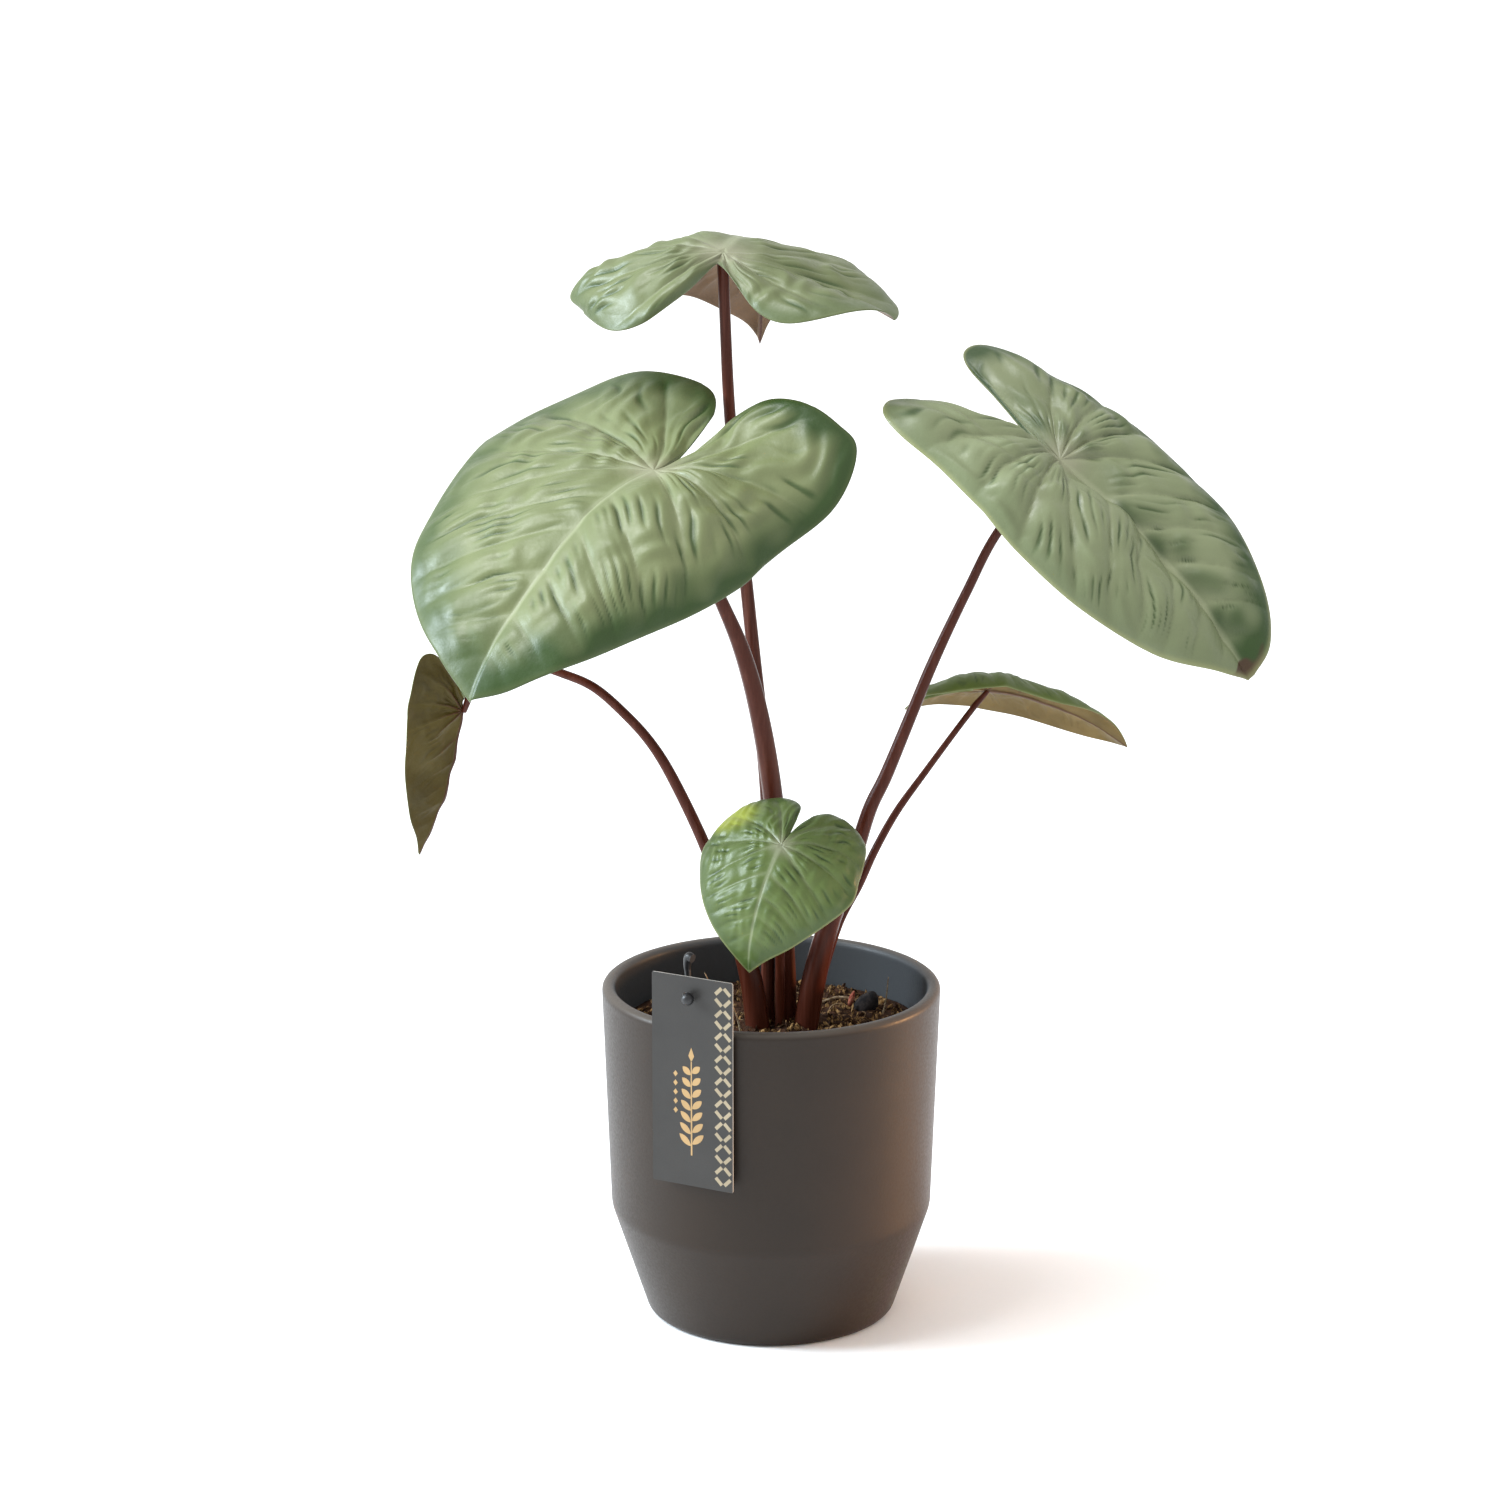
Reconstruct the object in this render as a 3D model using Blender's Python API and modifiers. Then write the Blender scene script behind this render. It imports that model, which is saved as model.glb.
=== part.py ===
"""Potted alocasia: six long-stalked leaves on one corm, in a matte ceramic pot with a hanging label.

Metres, +Z up. The origin is the middle of the pot's flat underside; -Y is the front, where the
label hangs. Tables of sizes are in millimetres and degrees and are scaled by MM when they are used.
"""
import math

import bmesh
import bpy
import numpy as np
from mathutils import Matrix, Vector

MM = 0.001
GAP = 0.3                      # clearance between touching solids

# Pot
POT_HEIGHT = 141.0
POT_RIM_RADIUS = 70.0
POT_KINK_RADIUS = 66.7         # where the wall turns in towards the foot
POT_KINK_HEIGHT = 46.2
POT_FOOT_RADIUS = 51.3
POT_WALL = 5.6
POT_FLOOR = 8.0
LIP_ROUNDING = 2.4
KINK_ROUNDING = 14.0
FOOT_ROUNDING = 4.0
POT_STEPS = 64

# Soil and corm
SOIL_DEPTH_BELOW_RIM = 20.0
SOIL_CROWN = 2.0               # how far the soil rises towards its middle
SOIL_STEPS = 48
SOIL_TOP = POT_HEIGHT - SOIL_DEPTH_BELOW_RIM
CORM_CENTRE = (6.0, 1.0, 99.0)
CORM_POCKET_CLEARANCE = 0.5
CORM_ROWS = 8
CORM_STEPS = 24
CORM_RADIUS = 12.0
CORM_HALF_HEIGHT = 13.0

# Petioles: the way each stalk runs, base first, as (x, y, z, radius); it ends under its blade
PETIOLES = {
    "petiole_1": [(6.6, 3.5, 114, 4.3), (6.1, 3, 145, 4.1), (3.8, 0, 185, 4.1), (0.6, -4, 222, 4.1),
                  (-4.5, -9, 255, 3.9), (-11.3, -15, 283, 3.4), (-20, -21, 306, 2.7),
                  (-32, -28, 333, 2.4)],
    "petiole_2": [(-1.3, 5, 114, 3.0), (-1.3, 6, 144, 2.9), (-0.5, 8, 182, 2.8),
                  (-1.6, 10, 218, 3.1), (-4, 11, 246, 3.0), (-7, 12, 275, 2.8),
                  (-10.2, 13, 306, 2.7), (-14.3, 13, 345, 2.5), (-17.2, 12, 382, 2.4),
                  (-18.6, 10.5, 414, 2.3)],
    "petiole_3": [(13.2, -4, 114, 5.0), (16.8, -4, 139, 5.1), (22.8, -3, 164, 4.4),
                  (32.3, -1, 189, 3.4), (39.9, 0, 214, 3.0), (46.8, 1, 229, 2.8),
                  (56.8, 2, 254, 2.5), (65.9, 2, 277, 2.3), (78.5, 1, 305, 2.0),
                  (91.7, -2, 332, 1.9)],
    "petiole_4": [(15.8, 6.5, 114, 2.2), (19.5, 8, 135, 2.1), (27.7, 11, 162, 1.9),
                  (36.4, 13, 179, 1.8), (43, 16, 193, 1.7), (52.1, 22, 208, 1.6),
                  (64.1, 28, 223.5, 1.4), (76.4, 34, 239, 1.3)],
    "petiole_5": [(-4.6, -4, 114, 5.2), (-8.8, -3, 145, 4.6), (-18.2, -1, 174, 3.2),
                  (-27.6, 1, 200, 2.5), (-40.3, 3, 227, 2.3), (-49.6, 5, 242, 2.1),
                  (-60.6, 7, 254, 2.0), (-72.5, 9, 264, 1.9), (-85.2, 12, 269, 1.8),
                  (-98.8, 16, 272, 1.7), (-112, 22, 270, 1.6), (-122, 28, 261, 1.6)],
    "petiole_6": [(3.4, -4.2, 114, 2.0), (3.6, -6, 148, 2.0), (3.9, -14, 176, 1.8),
                  (4.6, -27, 198, 1.6)],
}
PETIOLE_SAMPLES = 3            # curve points between two points of a stalk's route
SOIL_SOCKET_CLEARANCE = 0.4
SOCKET_DEPTH_BELOW_PETIOLE = 9.0

BLADE_RINGS = 6
BLADE_THICKNESS = 1.0
MARGIN_SAMPLES = 2             # margin points between two points of a list
NOTCH_SPREAD = 0.12            # least slope of a lobe's inner margin away from the middle line

# Blades. `stalk` is where the blade joins its petiole; `heading`, `dip` and `roll` turn it there.
# `right` and `left` are the flat blade's two margins from the tip back to the notch, as
# (distance from the midrib, distance ahead of the stalk). The bends and curls are degrees over
# `length` towards the tip, `lobe` behind the stalk and `half_width` out from the midrib.
BLADES = {
    "leaf_1": dict(
        stalk=(-46.4, -35.6, 361.9), heading=230, dip=-10, roll=5, length=131, lobe=59,
        half_width=84, tip_bend=52, lobe_bend=-34, fold=6, curl_left=78, curl_right=17,
        lobe_curl=-14, tip_curl=19, tip_twist=6, lobe_twist=-8,
        right=[(0, 131), (19, 119), (50, 97), (72, 58), (84, 22), (91, -6), (87, -30), (70, -52),
               (38, -60), (15, -56), (3, -40), (0, -8)],
        left=[(0, 131), (17, 120), (40, 95), (59.5, 58), (67, 23), (65, -8), (67, -32), (61, -52),
              (49, -57), (31, -59), (12, -54), (2, -38), (0, -8)]),
    "leaf_2": dict(
        stalk=(-19.6, 9.5, 440.9), heading=74, dip=12, roll=-14, length=138, lobe=43,
        half_width=73, tip_bend=73, lobe_bend=56, fold=0, curl_left=60, curl_right=12,
        lobe_curl=-24, tip_curl=49, tip_twist=27, lobe_twist=13,
        right=[(0, 138), (6, 122), (26, 95), (49, 62), (67, 29), (74, 5), (69, -10), (55, -23),
               (38, -30), (24, -28), (11, -18), (0, -7)],
        left=[(0, 138), (8, 125), (28, 99), (52, 62), (66, 26), (71, -4), (67, -28), (55, -46),
              (38, -52), (21, -45), (9, -27), (0, -7)]),
    "leaf_3": dict(
        stalk=(115.0, -6.4, 360.9), heading=-29, dip=-31, roll=-10, length=115, lobe=66,
        half_width=55, tip_bend=25, lobe_bend=13, fold=19, curl_left=26, curl_right=49,
        lobe_curl=-14, tip_curl=18, tip_twist=-18, lobe_twist=-1,
        right=[(0, 117), (14, 108), (35, 88), (50.5, 55), (56, 21), (54, -7), (51, -28), (49, -49),
               (43, -61), (31, -64), (20, -55), (11, -36), (4, -17), (0, -6)],
        left=[(0, 117), (16, 109), (31.5, 88), (43, 54), (47, 20), (46.5, -8), (43, -31), (40, -51),
              (34, -63), (25, -65), (17, -57), (10, -39), (3, -18), (0, -6)]),
    "leaf_4": dict(
        stalk=(89.9, 39.5, 255.8), heading=18, dip=-10, roll=44, length=66, lobe=43,
        half_width=21, tip_bend=38, lobe_bend=40, fold=30, curl_left=37, curl_right=101,
        lobe_curl=9, tip_curl=72, tip_twist=3, lobe_twist=-2,
        right=[(0, 66), (3, 62), (11, 49), (19, 30), (22, 12), (24, -5), (23, -18), (20, -31),
               (16, -39), (12, -40), (8, -35), (4, -22), (1.5, -10), (0, -6.5)],
        left=[(0, 66), (4, 61), (10, 49), (15, 31), (18, 12), (20, -4), (19, -15), (17, -25),
              (14, -32), (10, -33), (7, -29), (4, -20), (1.5, -10), (0, -6.5)]),
    "leaf_5": dict(
        stalk=(-128.6, 33.9, 248.0), heading=146, dip=-81, roll=21, length=68, lobe=31,
        half_width=27, tip_bend=-20, lobe_bend=-26, fold=30, curl_left=-20, curl_right=23,
        lobe_curl=11, tip_curl=-14, tip_twist=-12, lobe_twist=-6,
        right=[(0, 68), (5, 62), (13, 50), (20, 30), (24, 13), (24, -3), (23, -13), (20, -22),
               (17, -29), (13, -30), (9, -26), (5, -17), (1.8, -8.5), (0, -5.5)],
        left=[(0, 68), (5, 60), (13, 49), (21, 30), (25, 13), (27, -3), (25, -14), (22, -23),
              (18, -29), (14, -30), (10, -27), (5, -17), (1.8, -8.5), (0, -5.5)]),
    "leaf_6": dict(
        stalk=(3.9, -51.8, 213.6), heading=-127, dip=-42, roll=12, length=56, lobe=32,
        half_width=40, tip_bend=65, lobe_bend=44, fold=-3, curl_left=50, curl_right=33,
        lobe_curl=-3, tip_curl=-2, tip_twist=8, lobe_twist=4,
        right=[(0, 56), (8, 49), (20, 39), (32, 26), (39, 10), (39, -5), (36, -16), (29, -26),
               (17, -31), (6, -26), (2, -17), (0, -7)],
        left=[(0, 56), (7, 49), (18, 40), (29, 26), (36, 10), (35, -5), (32, -17), (26, -29),
              (15, -34), (6, -29), (2, -18), (0, -7)]),
}

# Hanging label, its stake and the knob that holds it
CARD_WIDTH = 36.5
CARD_HEIGHT = 88.0
CARD_THICKNESS = 0.6
CARD_YAW = -27.6               # degrees about +Z from facing straight ahead
CARD_HOLE_CENTRE = (-33.6, -62.5, 154.0)
CARD_HOLE_RADIUS = 2.4
CARD_HOLE_BELOW_TOP = 9.0
CARD_PUNCH_LENGTH = 10.0        # of the cutter, well through the card
CARD_HOLE_FROM_LEFT = 16.0
STAKE_RADIUS = 1.1
STAKE_ROUTE = [(-33.4, -51.5, 98), (-33.4, -51.6, 130), (-33.5, -51.7, 158), (-33.8, -52.0, 165),
               (-33.2, -53.0, 168.4), (-31.6, -54.4, 167.6)]
KNOB_HEIGHT = 154.8
KNOB_RADIUS = 2.6
KNOB_STEM_RADIUS = 1.0
KNOB_FRONT = -68.0
KNOB_SINK = 0.6                  # how far back its centre lies, in radii
KNOB_SHOULDER = 0.3              # between knob and stem

PART_NAME = "potted_alocasia"


def remove_everything():
    for old in list(bpy.data.objects):
        bpy.data.objects.remove(old)
    for old in list(bpy.data.collections):
        bpy.data.collections.remove(old)


def make_collection(name):
    collection = bpy.data.collections.new(name)
    bpy.context.scene.collection.children.link(collection)
    return collection


def make_material(name, colour, roughness, metallic=0.0):
    material = bpy.data.materials.new(name)
    material.use_nodes = True
    shader = material.node_tree.nodes["Principled BSDF"]
    shader.inputs["Base Color"].default_value = (*colour, 1.0)
    shader.inputs["Roughness"].default_value = roughness
    shader.inputs["Metallic"].default_value = metallic
    return material


def add_object(name, data, collection, material=None):
    made = bpy.data.objects.new(name, data)
    collection.objects.link(made)
    if material is not None:
        data.materials.append(material)
    return made


def arc(centre, radius, start, end, steps):
    """Points of an arc in the (radius, height) plane, angles in degrees, both ends included."""
    points = []
    for step in range(steps + 1):
        angle = math.radians(start + (end - start) * step / steps)
        points.append((centre[0] + radius * math.cos(angle), centre[1] + radius * math.sin(angle)))
    return points


def rounded_corner(before, corner, after, radius, steps):
    """Points of a fillet of the given radius where two straight runs meet."""
    corner = Vector(corner)
    inward = (Vector(before) - corner).normalized()
    outward = (Vector(after) - corner).normalized()
    half = inward.angle(outward) / 2
    reach = radius / math.tan(half)
    centre = corner + (inward + outward).normalized() * radius / math.sin(half)
    start = corner + inward * reach - centre
    end = corner + outward * reach - centre
    sweep = start.angle_signed(end)
    points = []
    for step in range(steps + 1):
        turned = start.copy()
        turned.rotate(Matrix.Rotation(-sweep * step / steps, 2))
        points.append(tuple(centre + turned))
    return points


def turned(name, profile, steps, collection, material=None, centre=(0.0, 0.0)):
    """A closed solid of revolution about +Z from a profile that runs down its outer side."""
    mesh = bpy.data.meshes.new(name)
    points = [(radius * MM, 0.0, height * MM) for radius, height in profile]
    mesh.from_pydata(points, [(i, i + 1) for i in range(len(points) - 1)], [])
    made = add_object(name, mesh, collection, material)
    made.location = (centre[0] * MM, centre[1] * MM, 0.0)
    screw = made.modifiers.new("Turn", "SCREW")
    screw.steps = steps
    screw.render_steps = steps
    screw.use_merge_vertices = True
    screw.merge_threshold = 0.00001
    return made


def smooth_route(points, samples):
    """A Catmull-Rom curve through points of any dimension, as an array of rows."""
    given = np.array(points, float)
    padded = np.vstack([2 * given[0] - given[1], given, 2 * given[-1] - given[-2]])
    rows = []
    for i in range(len(given) - 1):
        a, b, c, d = padded[i:i + 4]
        for t in np.linspace(0.0, 1.0, samples, endpoint=False):
            rows.append(0.5 * (2 * b + (c - a) * t + (2 * a - 5 * b + 4 * c - d) * t ** 2
                               + (3 * b - a - 3 * c + d) * t ** 3))
    rows.append(given[-1])
    return np.array(rows)


def tube(name, rows, collection, material=None, grow=0.0):
    """A round stalk along rows of (x, y, z, radius), with filled ends."""
    curve = bpy.data.curves.new(name, "CURVE")
    curve.dimensions = "3D"
    curve.bevel_depth = MM
    curve.bevel_resolution = 3
    curve.use_fill_caps = True
    spline = curve.splines.new("POLY")
    spline.points.add(len(rows) - 1)
    for point, row in zip(spline.points, rows):
        point.co = (row[0] * MM, row[1] * MM, row[2] * MM, 1.0)
        point.radius = row[3] + grow
    return add_object(name, curve, collection, material)


def as_mesh_object(source, collection):
    """The same shape as a closed mesh object, for cutting or for being cut."""
    evaluated = source.evaluated_get(bpy.context.evaluated_depsgraph_get())
    mesh = bpy.data.meshes.new_from_object(evaluated)
    work = bmesh.new()
    work.from_mesh(mesh)
    bmesh.ops.remove_doubles(work, verts=work.verts, dist=0.000001)
    work.to_mesh(mesh)
    work.free()
    name = source.name
    matrix = source.matrix_world.copy()
    bpy.data.objects.remove(source)
    made = bpy.data.objects.new(name, mesh)
    made.matrix_world = matrix
    collection.objects.link(made)
    return made


def cut(target, cutter):
    cutter.hide_render = True
    cutter.display_type = "WIRE"
    boolean = target.modifiers.new("Cut " + cutter.name, "BOOLEAN")
    boolean.operation = "DIFFERENCE"
    boolean.object = cutter


def pot_profile():
    """The pot's section from the middle of its floor, over the lip and down to the axis."""
    rim = POT_RIM_RADIUS
    top = POT_HEIGHT
    foot = (POT_FOOT_RADIUS, 0.0)
    kink = (POT_KINK_RADIUS, POT_KINK_HEIGHT)
    inner_rim = rim - POT_WALL
    inner_kink = (POT_KINK_RADIUS - POT_WALL, POT_KINK_HEIGHT + 2.0)
    inner_foot = (POT_FOOT_RADIUS - POT_WALL + 3.0, POT_FLOOR)
    profile = [(0.0, POT_FLOOR)]
    profile += rounded_corner((0.0, POT_FLOOR), inner_foot, inner_kink, FOOT_ROUNDING, 2)
    profile.append(inner_kink)
    profile += arc((inner_rim + LIP_ROUNDING, top - LIP_ROUNDING), LIP_ROUNDING, 180, 90, 4)
    profile += arc((rim - LIP_ROUNDING, top - LIP_ROUNDING), LIP_ROUNDING, 90, 0, 4)
    profile += rounded_corner((rim, top), kink, foot, KINK_ROUNDING, 3)
    profile += rounded_corner(kink, foot, (0.0, 0.0), FOOT_ROUNDING, 3)
    profile.append((0.0, 0.0))
    return profile


def soil_profile():
    """The ball of soil inside the pot, from the middle of its top down to the axis."""
    slack = GAP
    inner_rim = POT_RIM_RADIUS - POT_WALL
    wall_lean = (inner_rim - (POT_KINK_RADIUS - POT_WALL)) / (POT_HEIGHT - POT_KINK_HEIGHT - 2.0)
    top_radius = inner_rim - wall_lean * SOIL_DEPTH_BELOW_RIM - slack
    kink = (POT_KINK_RADIUS - POT_WALL - slack, POT_KINK_HEIGHT + 2.0)
    foot = (POT_FOOT_RADIUS - POT_WALL + 3.0 - 2 * slack, POT_FLOOR + slack)
    profile = [(0.0, SOIL_TOP + SOIL_CROWN)]
    for share in (0.4, 0.75, 0.93):
        profile.append((top_radius * share, SOIL_TOP + SOIL_CROWN * (1 - share ** 2)))
    profile.append((top_radius, SOIL_TOP - 1.0))
    profile.append(kink)
    profile += rounded_corner(kink, foot, (0.0, foot[1]), FOOT_ROUNDING, 2)
    profile.append((0.0, POT_FLOOR + slack))
    return profile


def ellipse_profile(radius, half_height, centre_height, steps):
    points = []
    for step in range(steps + 1):
        angle = math.pi * (0.5 - step / steps)
        points.append((radius * math.cos(angle), centre_height + half_height * math.sin(angle)))
    points[0] = (0.0, centre_height + half_height)
    points[-1] = (0.0, centre_height - half_height)
    return points


def blade_margins(blade):
    """The flat blade's right and left margins from tip to notch, as rows of (across, ahead)."""
    margins = []
    for side, points in ((1.0, blade["right"]), (-1.0, blade["left"])):
        margin = smooth_route(points, MARGIN_SAMPLES)
        margin[:, 0] = np.maximum(margin[:, 0], NOTCH_SPREAD * (margin[-1, 1] - margin[:, 1]))
        margin[:, 0] *= side
        margins.append(margin)
    return margins


def bent(distance, bend, span):
    """Forward distance, rise and slope after a run along an arc that bends down by `bend`."""
    curvature = math.radians(bend) / span
    if abs(curvature) < 1e-6:
        return distance, 0.0 * distance, 0.0 * distance
    slope = curvature * distance
    return np.sin(slope) / curvature, (np.cos(slope) - 1.0) / curvature, -slope


def on_blade(blade, across, along):
    """Where flat blade coordinates (mm) come to lie in the model, as rows of x, y, z (mm)."""
    length, lobe, half_width = blade["length"], blade["lobe"], blade["half_width"]
    ahead, rise, slope = bent(np.maximum(along, 0.0), blade["tip_bend"], length)
    behind, back_rise, back_slope = bent(np.maximum(-along, 0.0), blade["lobe_bend"], lobe)
    forward = np.where(along > 0.0, ahead, -behind)
    up = np.where(along > 0.0, rise, back_rise)
    slope = np.where(along > 0.0, slope, -back_slope)
    tip_share = np.clip(along / length, 0.0, 1.0)
    lobe_share = np.clip(-along / lobe, 0.0, 1.0)
    curl = np.where(across < 0.0, blade["curl_left"], blade["curl_right"])
    curl = curl + lobe_share * blade["lobe_curl"] + tip_share * blade["tip_curl"]
    rate = np.radians(curl) / half_width
    rate = np.where(np.abs(rate) < 1e-5, 1e-5, rate)
    fold = math.radians(blade["fold"])
    side = np.sign(across)
    reach = np.abs(across)
    sideways = side * (math.sin(fold) - np.sin(fold - rate * reach)) / rate
    lift = (np.cos(fold - rate * reach) - math.cos(fold)) / rate
    twist = np.radians(blade["tip_twist"] * tip_share + blade["lobe_twist"] * lobe_share)
    lateral = sideways * np.cos(twist) - lift * np.sin(twist)
    normal = sideways * np.sin(twist) + lift * np.cos(twist)
    forward = forward - normal * np.sin(slope)
    up = up + normal * np.cos(slope)
    heading, dip, roll = (math.radians(blade[key]) for key in ("heading", "dip", "roll"))
    front = np.array([math.cos(heading) * math.cos(dip), math.sin(heading) * math.cos(dip),
                      math.sin(dip)])
    level = np.array([math.sin(heading), -math.cos(heading), 0.0])
    above = np.cross(level, front)
    right = level * math.cos(roll) + above * math.sin(roll)
    top = above * math.cos(roll) - level * math.sin(roll)
    stalk = np.array(blade["stalk"])
    return (stalk + forward[..., None] * front + lateral[..., None] * right
            + up[..., None] * top)


def blade_top_direction(blade):
    """The upward normal of a blade at its stalk."""
    step = np.array([0.0, 0.5, 0.0])
    here, forwards, rightwards = on_blade(blade, np.array([1e-6, 1e-6, 0.5]), step)
    normal = np.cross(rightwards - here, forwards - here)
    return normal / np.linalg.norm(normal)


def make_blade(name, blade, collection, material):
    """A blade as rings of points about the stalk, given its thickness by Solidify."""
    right, left = blade_margins(blade)
    loop = np.vstack([right, left[-2:0:-1]])
    count = len(loop)
    share = np.linspace(0.0, 1.0, BLADE_RINGS + 1)[1:, None]
    flat_across = share * loop[None, :, 0]
    flat_along = share * loop[None, :, 1]
    flat_across = np.where(np.abs(flat_across) < 1e-6, 1e-6, flat_across)
    rings = on_blade(blade, flat_across, flat_along).reshape(-1, 3)
    points = [tuple(np.array(blade["stalk"]) * MM)] + [tuple(point * MM) for point in rings]
    faces = []
    for i in range(count):
        after = (i + 1) % count
        faces.append((0, 1 + after, 1 + i))
        for ring in range(BLADE_RINGS - 1):
            inner = 1 + ring * count
            outer = inner + count
            faces.append((inner + i, inner + after, outer + after, outer + i))
    mesh = bpy.data.meshes.new(name)
    mesh.from_pydata(points, [], faces)
    mesh.shade_smooth()
    made = add_object(name, mesh, collection, material)
    wall = made.modifiers.new("Thickness", "SOLIDIFY")
    wall.thickness = BLADE_THICKNESS * MM
    wall.offset = 0.0
    return made


def petiole_rows(name):
    """The stalk's curve, ended just under its blade."""
    blade = BLADES[name.replace("petiole", "leaf")]
    route = [list(point) for point in PETIOLES[name]]
    radius = route[-1][3]
    stalk = np.array(blade["stalk"])
    approach = stalk - np.array(route[-1][:3])
    approach /= np.linalg.norm(approach)
    lean = abs(float(np.dot(approach, blade_top_direction(blade))))
    drop = BLADE_THICKNESS / 2 + 2 * GAP + radius * math.sqrt(max(0.0, 1.0 - lean ** 2))
    end = stalk - approach * drop / max(lean, 0.3)
    route.append([*end, radius])
    return smooth_route(route, PETIOLE_SAMPLES)


def make_card(collection, material):
    """The label card: a bevelled plate with a hole, turned to lie along the pot's wall."""
    bpy.ops.mesh.primitive_cube_add(size=1.0)
    card = bpy.context.object
    card.name = "label_card"
    card.data.materials.append(material)
    for owner in list(card.users_collection):
        owner.objects.unlink(card)
    collection.objects.link(card)
    size = Matrix.Diagonal((CARD_WIDTH * MM, CARD_THICKNESS * MM, CARD_HEIGHT * MM, 1.0))
    middle = Vector((CARD_WIDTH / 2 - CARD_HOLE_FROM_LEFT, 0.0,
                     CARD_HOLE_BELOW_TOP - CARD_HEIGHT / 2)) * MM
    card.data.transform(Matrix.Translation(middle) @ size)
    card.location = Vector(CARD_HOLE_CENTRE) * MM
    card.rotation_euler.z = math.radians(CARD_YAW)
    return card


def make_cylinder(name, radius, height, collection):
    mesh = bpy.data.meshes.new(name)
    work = bmesh.new()
    bmesh.ops.create_cone(work, cap_ends=True, segments=24, radius1=radius * MM,
                          radius2=radius * MM, depth=height * MM)
    work.to_mesh(mesh)
    work.free()
    return add_object(name, mesh, collection)


def knob_profile():
    """Knob and stem about +Z, the rounded knob at the top."""
    front = -KNOB_FRONT
    back = -(STAKE_ROUTE[2][1]) + STAKE_RADIUS + GAP
    profile = arc((0.0, front - KNOB_RADIUS * KNOB_SINK), KNOB_RADIUS, 90, -20, 5)
    profile[0] = (0.0, profile[0][1])
    profile.append((KNOB_STEM_RADIUS, profile[-1][1] - KNOB_SHOULDER))
    profile.append((KNOB_STEM_RADIUS, back))
    profile.append((0.0, back))
    return profile


def build():
    remove_everything()
    parts = make_collection(PART_NAME)
    cutters = make_collection("cutters")
    ceramic = make_material("matte_ceramic", (0.055, 0.047, 0.040), 0.55)
    earth = make_material("coir_soil", (0.060, 0.035, 0.020), 0.95)
    root_skin = make_material("corm_skin", (0.130, 0.070, 0.040), 0.80)
    stalk_skin = make_material("petiole_skin", (0.080, 0.022, 0.016), 0.35)
    leaf_skin = make_material("leaf_surface", (0.160, 0.260, 0.120), 0.40)
    card_face = make_material("label_card", (0.035, 0.035, 0.038), 0.45)
    black_plastic = make_material("black_plastic", (0.012, 0.012, 0.014), 0.35)

    turned("pot", pot_profile(), POT_STEPS, parts, ceramic)
    soil = turned("soil", soil_profile(), SOIL_STEPS, parts, earth)
    corm_centre = CORM_CENTRE[:2]
    turned("corm", ellipse_profile(CORM_RADIUS, CORM_HALF_HEIGHT, CORM_CENTRE[2], CORM_ROWS),
           CORM_STEPS, parts, root_skin, corm_centre)
    pocket = turned("corm_pocket", ellipse_profile(CORM_RADIUS + CORM_POCKET_CLEARANCE,
                                                   CORM_HALF_HEIGHT + CORM_POCKET_CLEARANCE,
                                                   CORM_CENTRE[2], CORM_ROWS), CORM_STEPS,
                    cutters, None, corm_centre)
    bpy.context.view_layer.update()
    cut(soil, as_mesh_object(pocket, cutters))
    for name in PETIOLES:
        rows = petiole_rows(name)
        tube(name, rows, parts, stalk_skin)
        below = rows[0].copy()
        below[2] -= SOCKET_DEPTH_BELOW_PETIOLE
        socket_rows = np.vstack([below, rows[:PETIOLE_SAMPLES + 2]])
        socket = tube(name + "_socket", socket_rows, cutters, None, SOIL_SOCKET_CLEARANCE)
        bpy.context.view_layer.update()
        cut(soil, as_mesh_object(socket, cutters))
    for name, blade in BLADES.items():
        make_blade(name, blade, parts, leaf_skin)

    stake_rows = [(*point, STAKE_RADIUS) for point in STAKE_ROUTE]
    stake_curve = smooth_route(stake_rows, 3)
    tube("label_stake", stake_curve, parts, black_plastic)
    hole = np.vstack([stake_curve[0] - (0, 0, GAP, 0), stake_curve[1:5]])
    stake_socket = tube("stake_socket", hole, cutters, None, SOIL_SOCKET_CLEARANCE)
    bpy.context.view_layer.update()
    cut(soil, as_mesh_object(stake_socket, cutters))

    card = make_card(parts, card_face)
    punch = make_cylinder("label_punch", CARD_HOLE_RADIUS, CARD_PUNCH_LENGTH, cutters)
    punch.location = card.location
    punch.rotation_euler = (math.pi / 2, 0.0, math.radians(CARD_YAW))
    cut(card, punch)
    knob = turned("label_knob", knob_profile(), 20, parts, black_plastic)
    knob.location = (STAKE_ROUTE[2][0] * MM, 0.0, KNOB_HEIGHT * MM)
    knob.rotation_euler.x = math.pi / 2


if __name__ == "__main__":
    build()
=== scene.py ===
import math

import bmesh
import bpy
import numpy as np
from bpy.props import FloatProperty, FloatVectorProperty, IntProperty, PointerProperty
from bpy.types import Operator, Panel, PropertyGroup
from mathutils import Matrix, Vector


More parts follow.
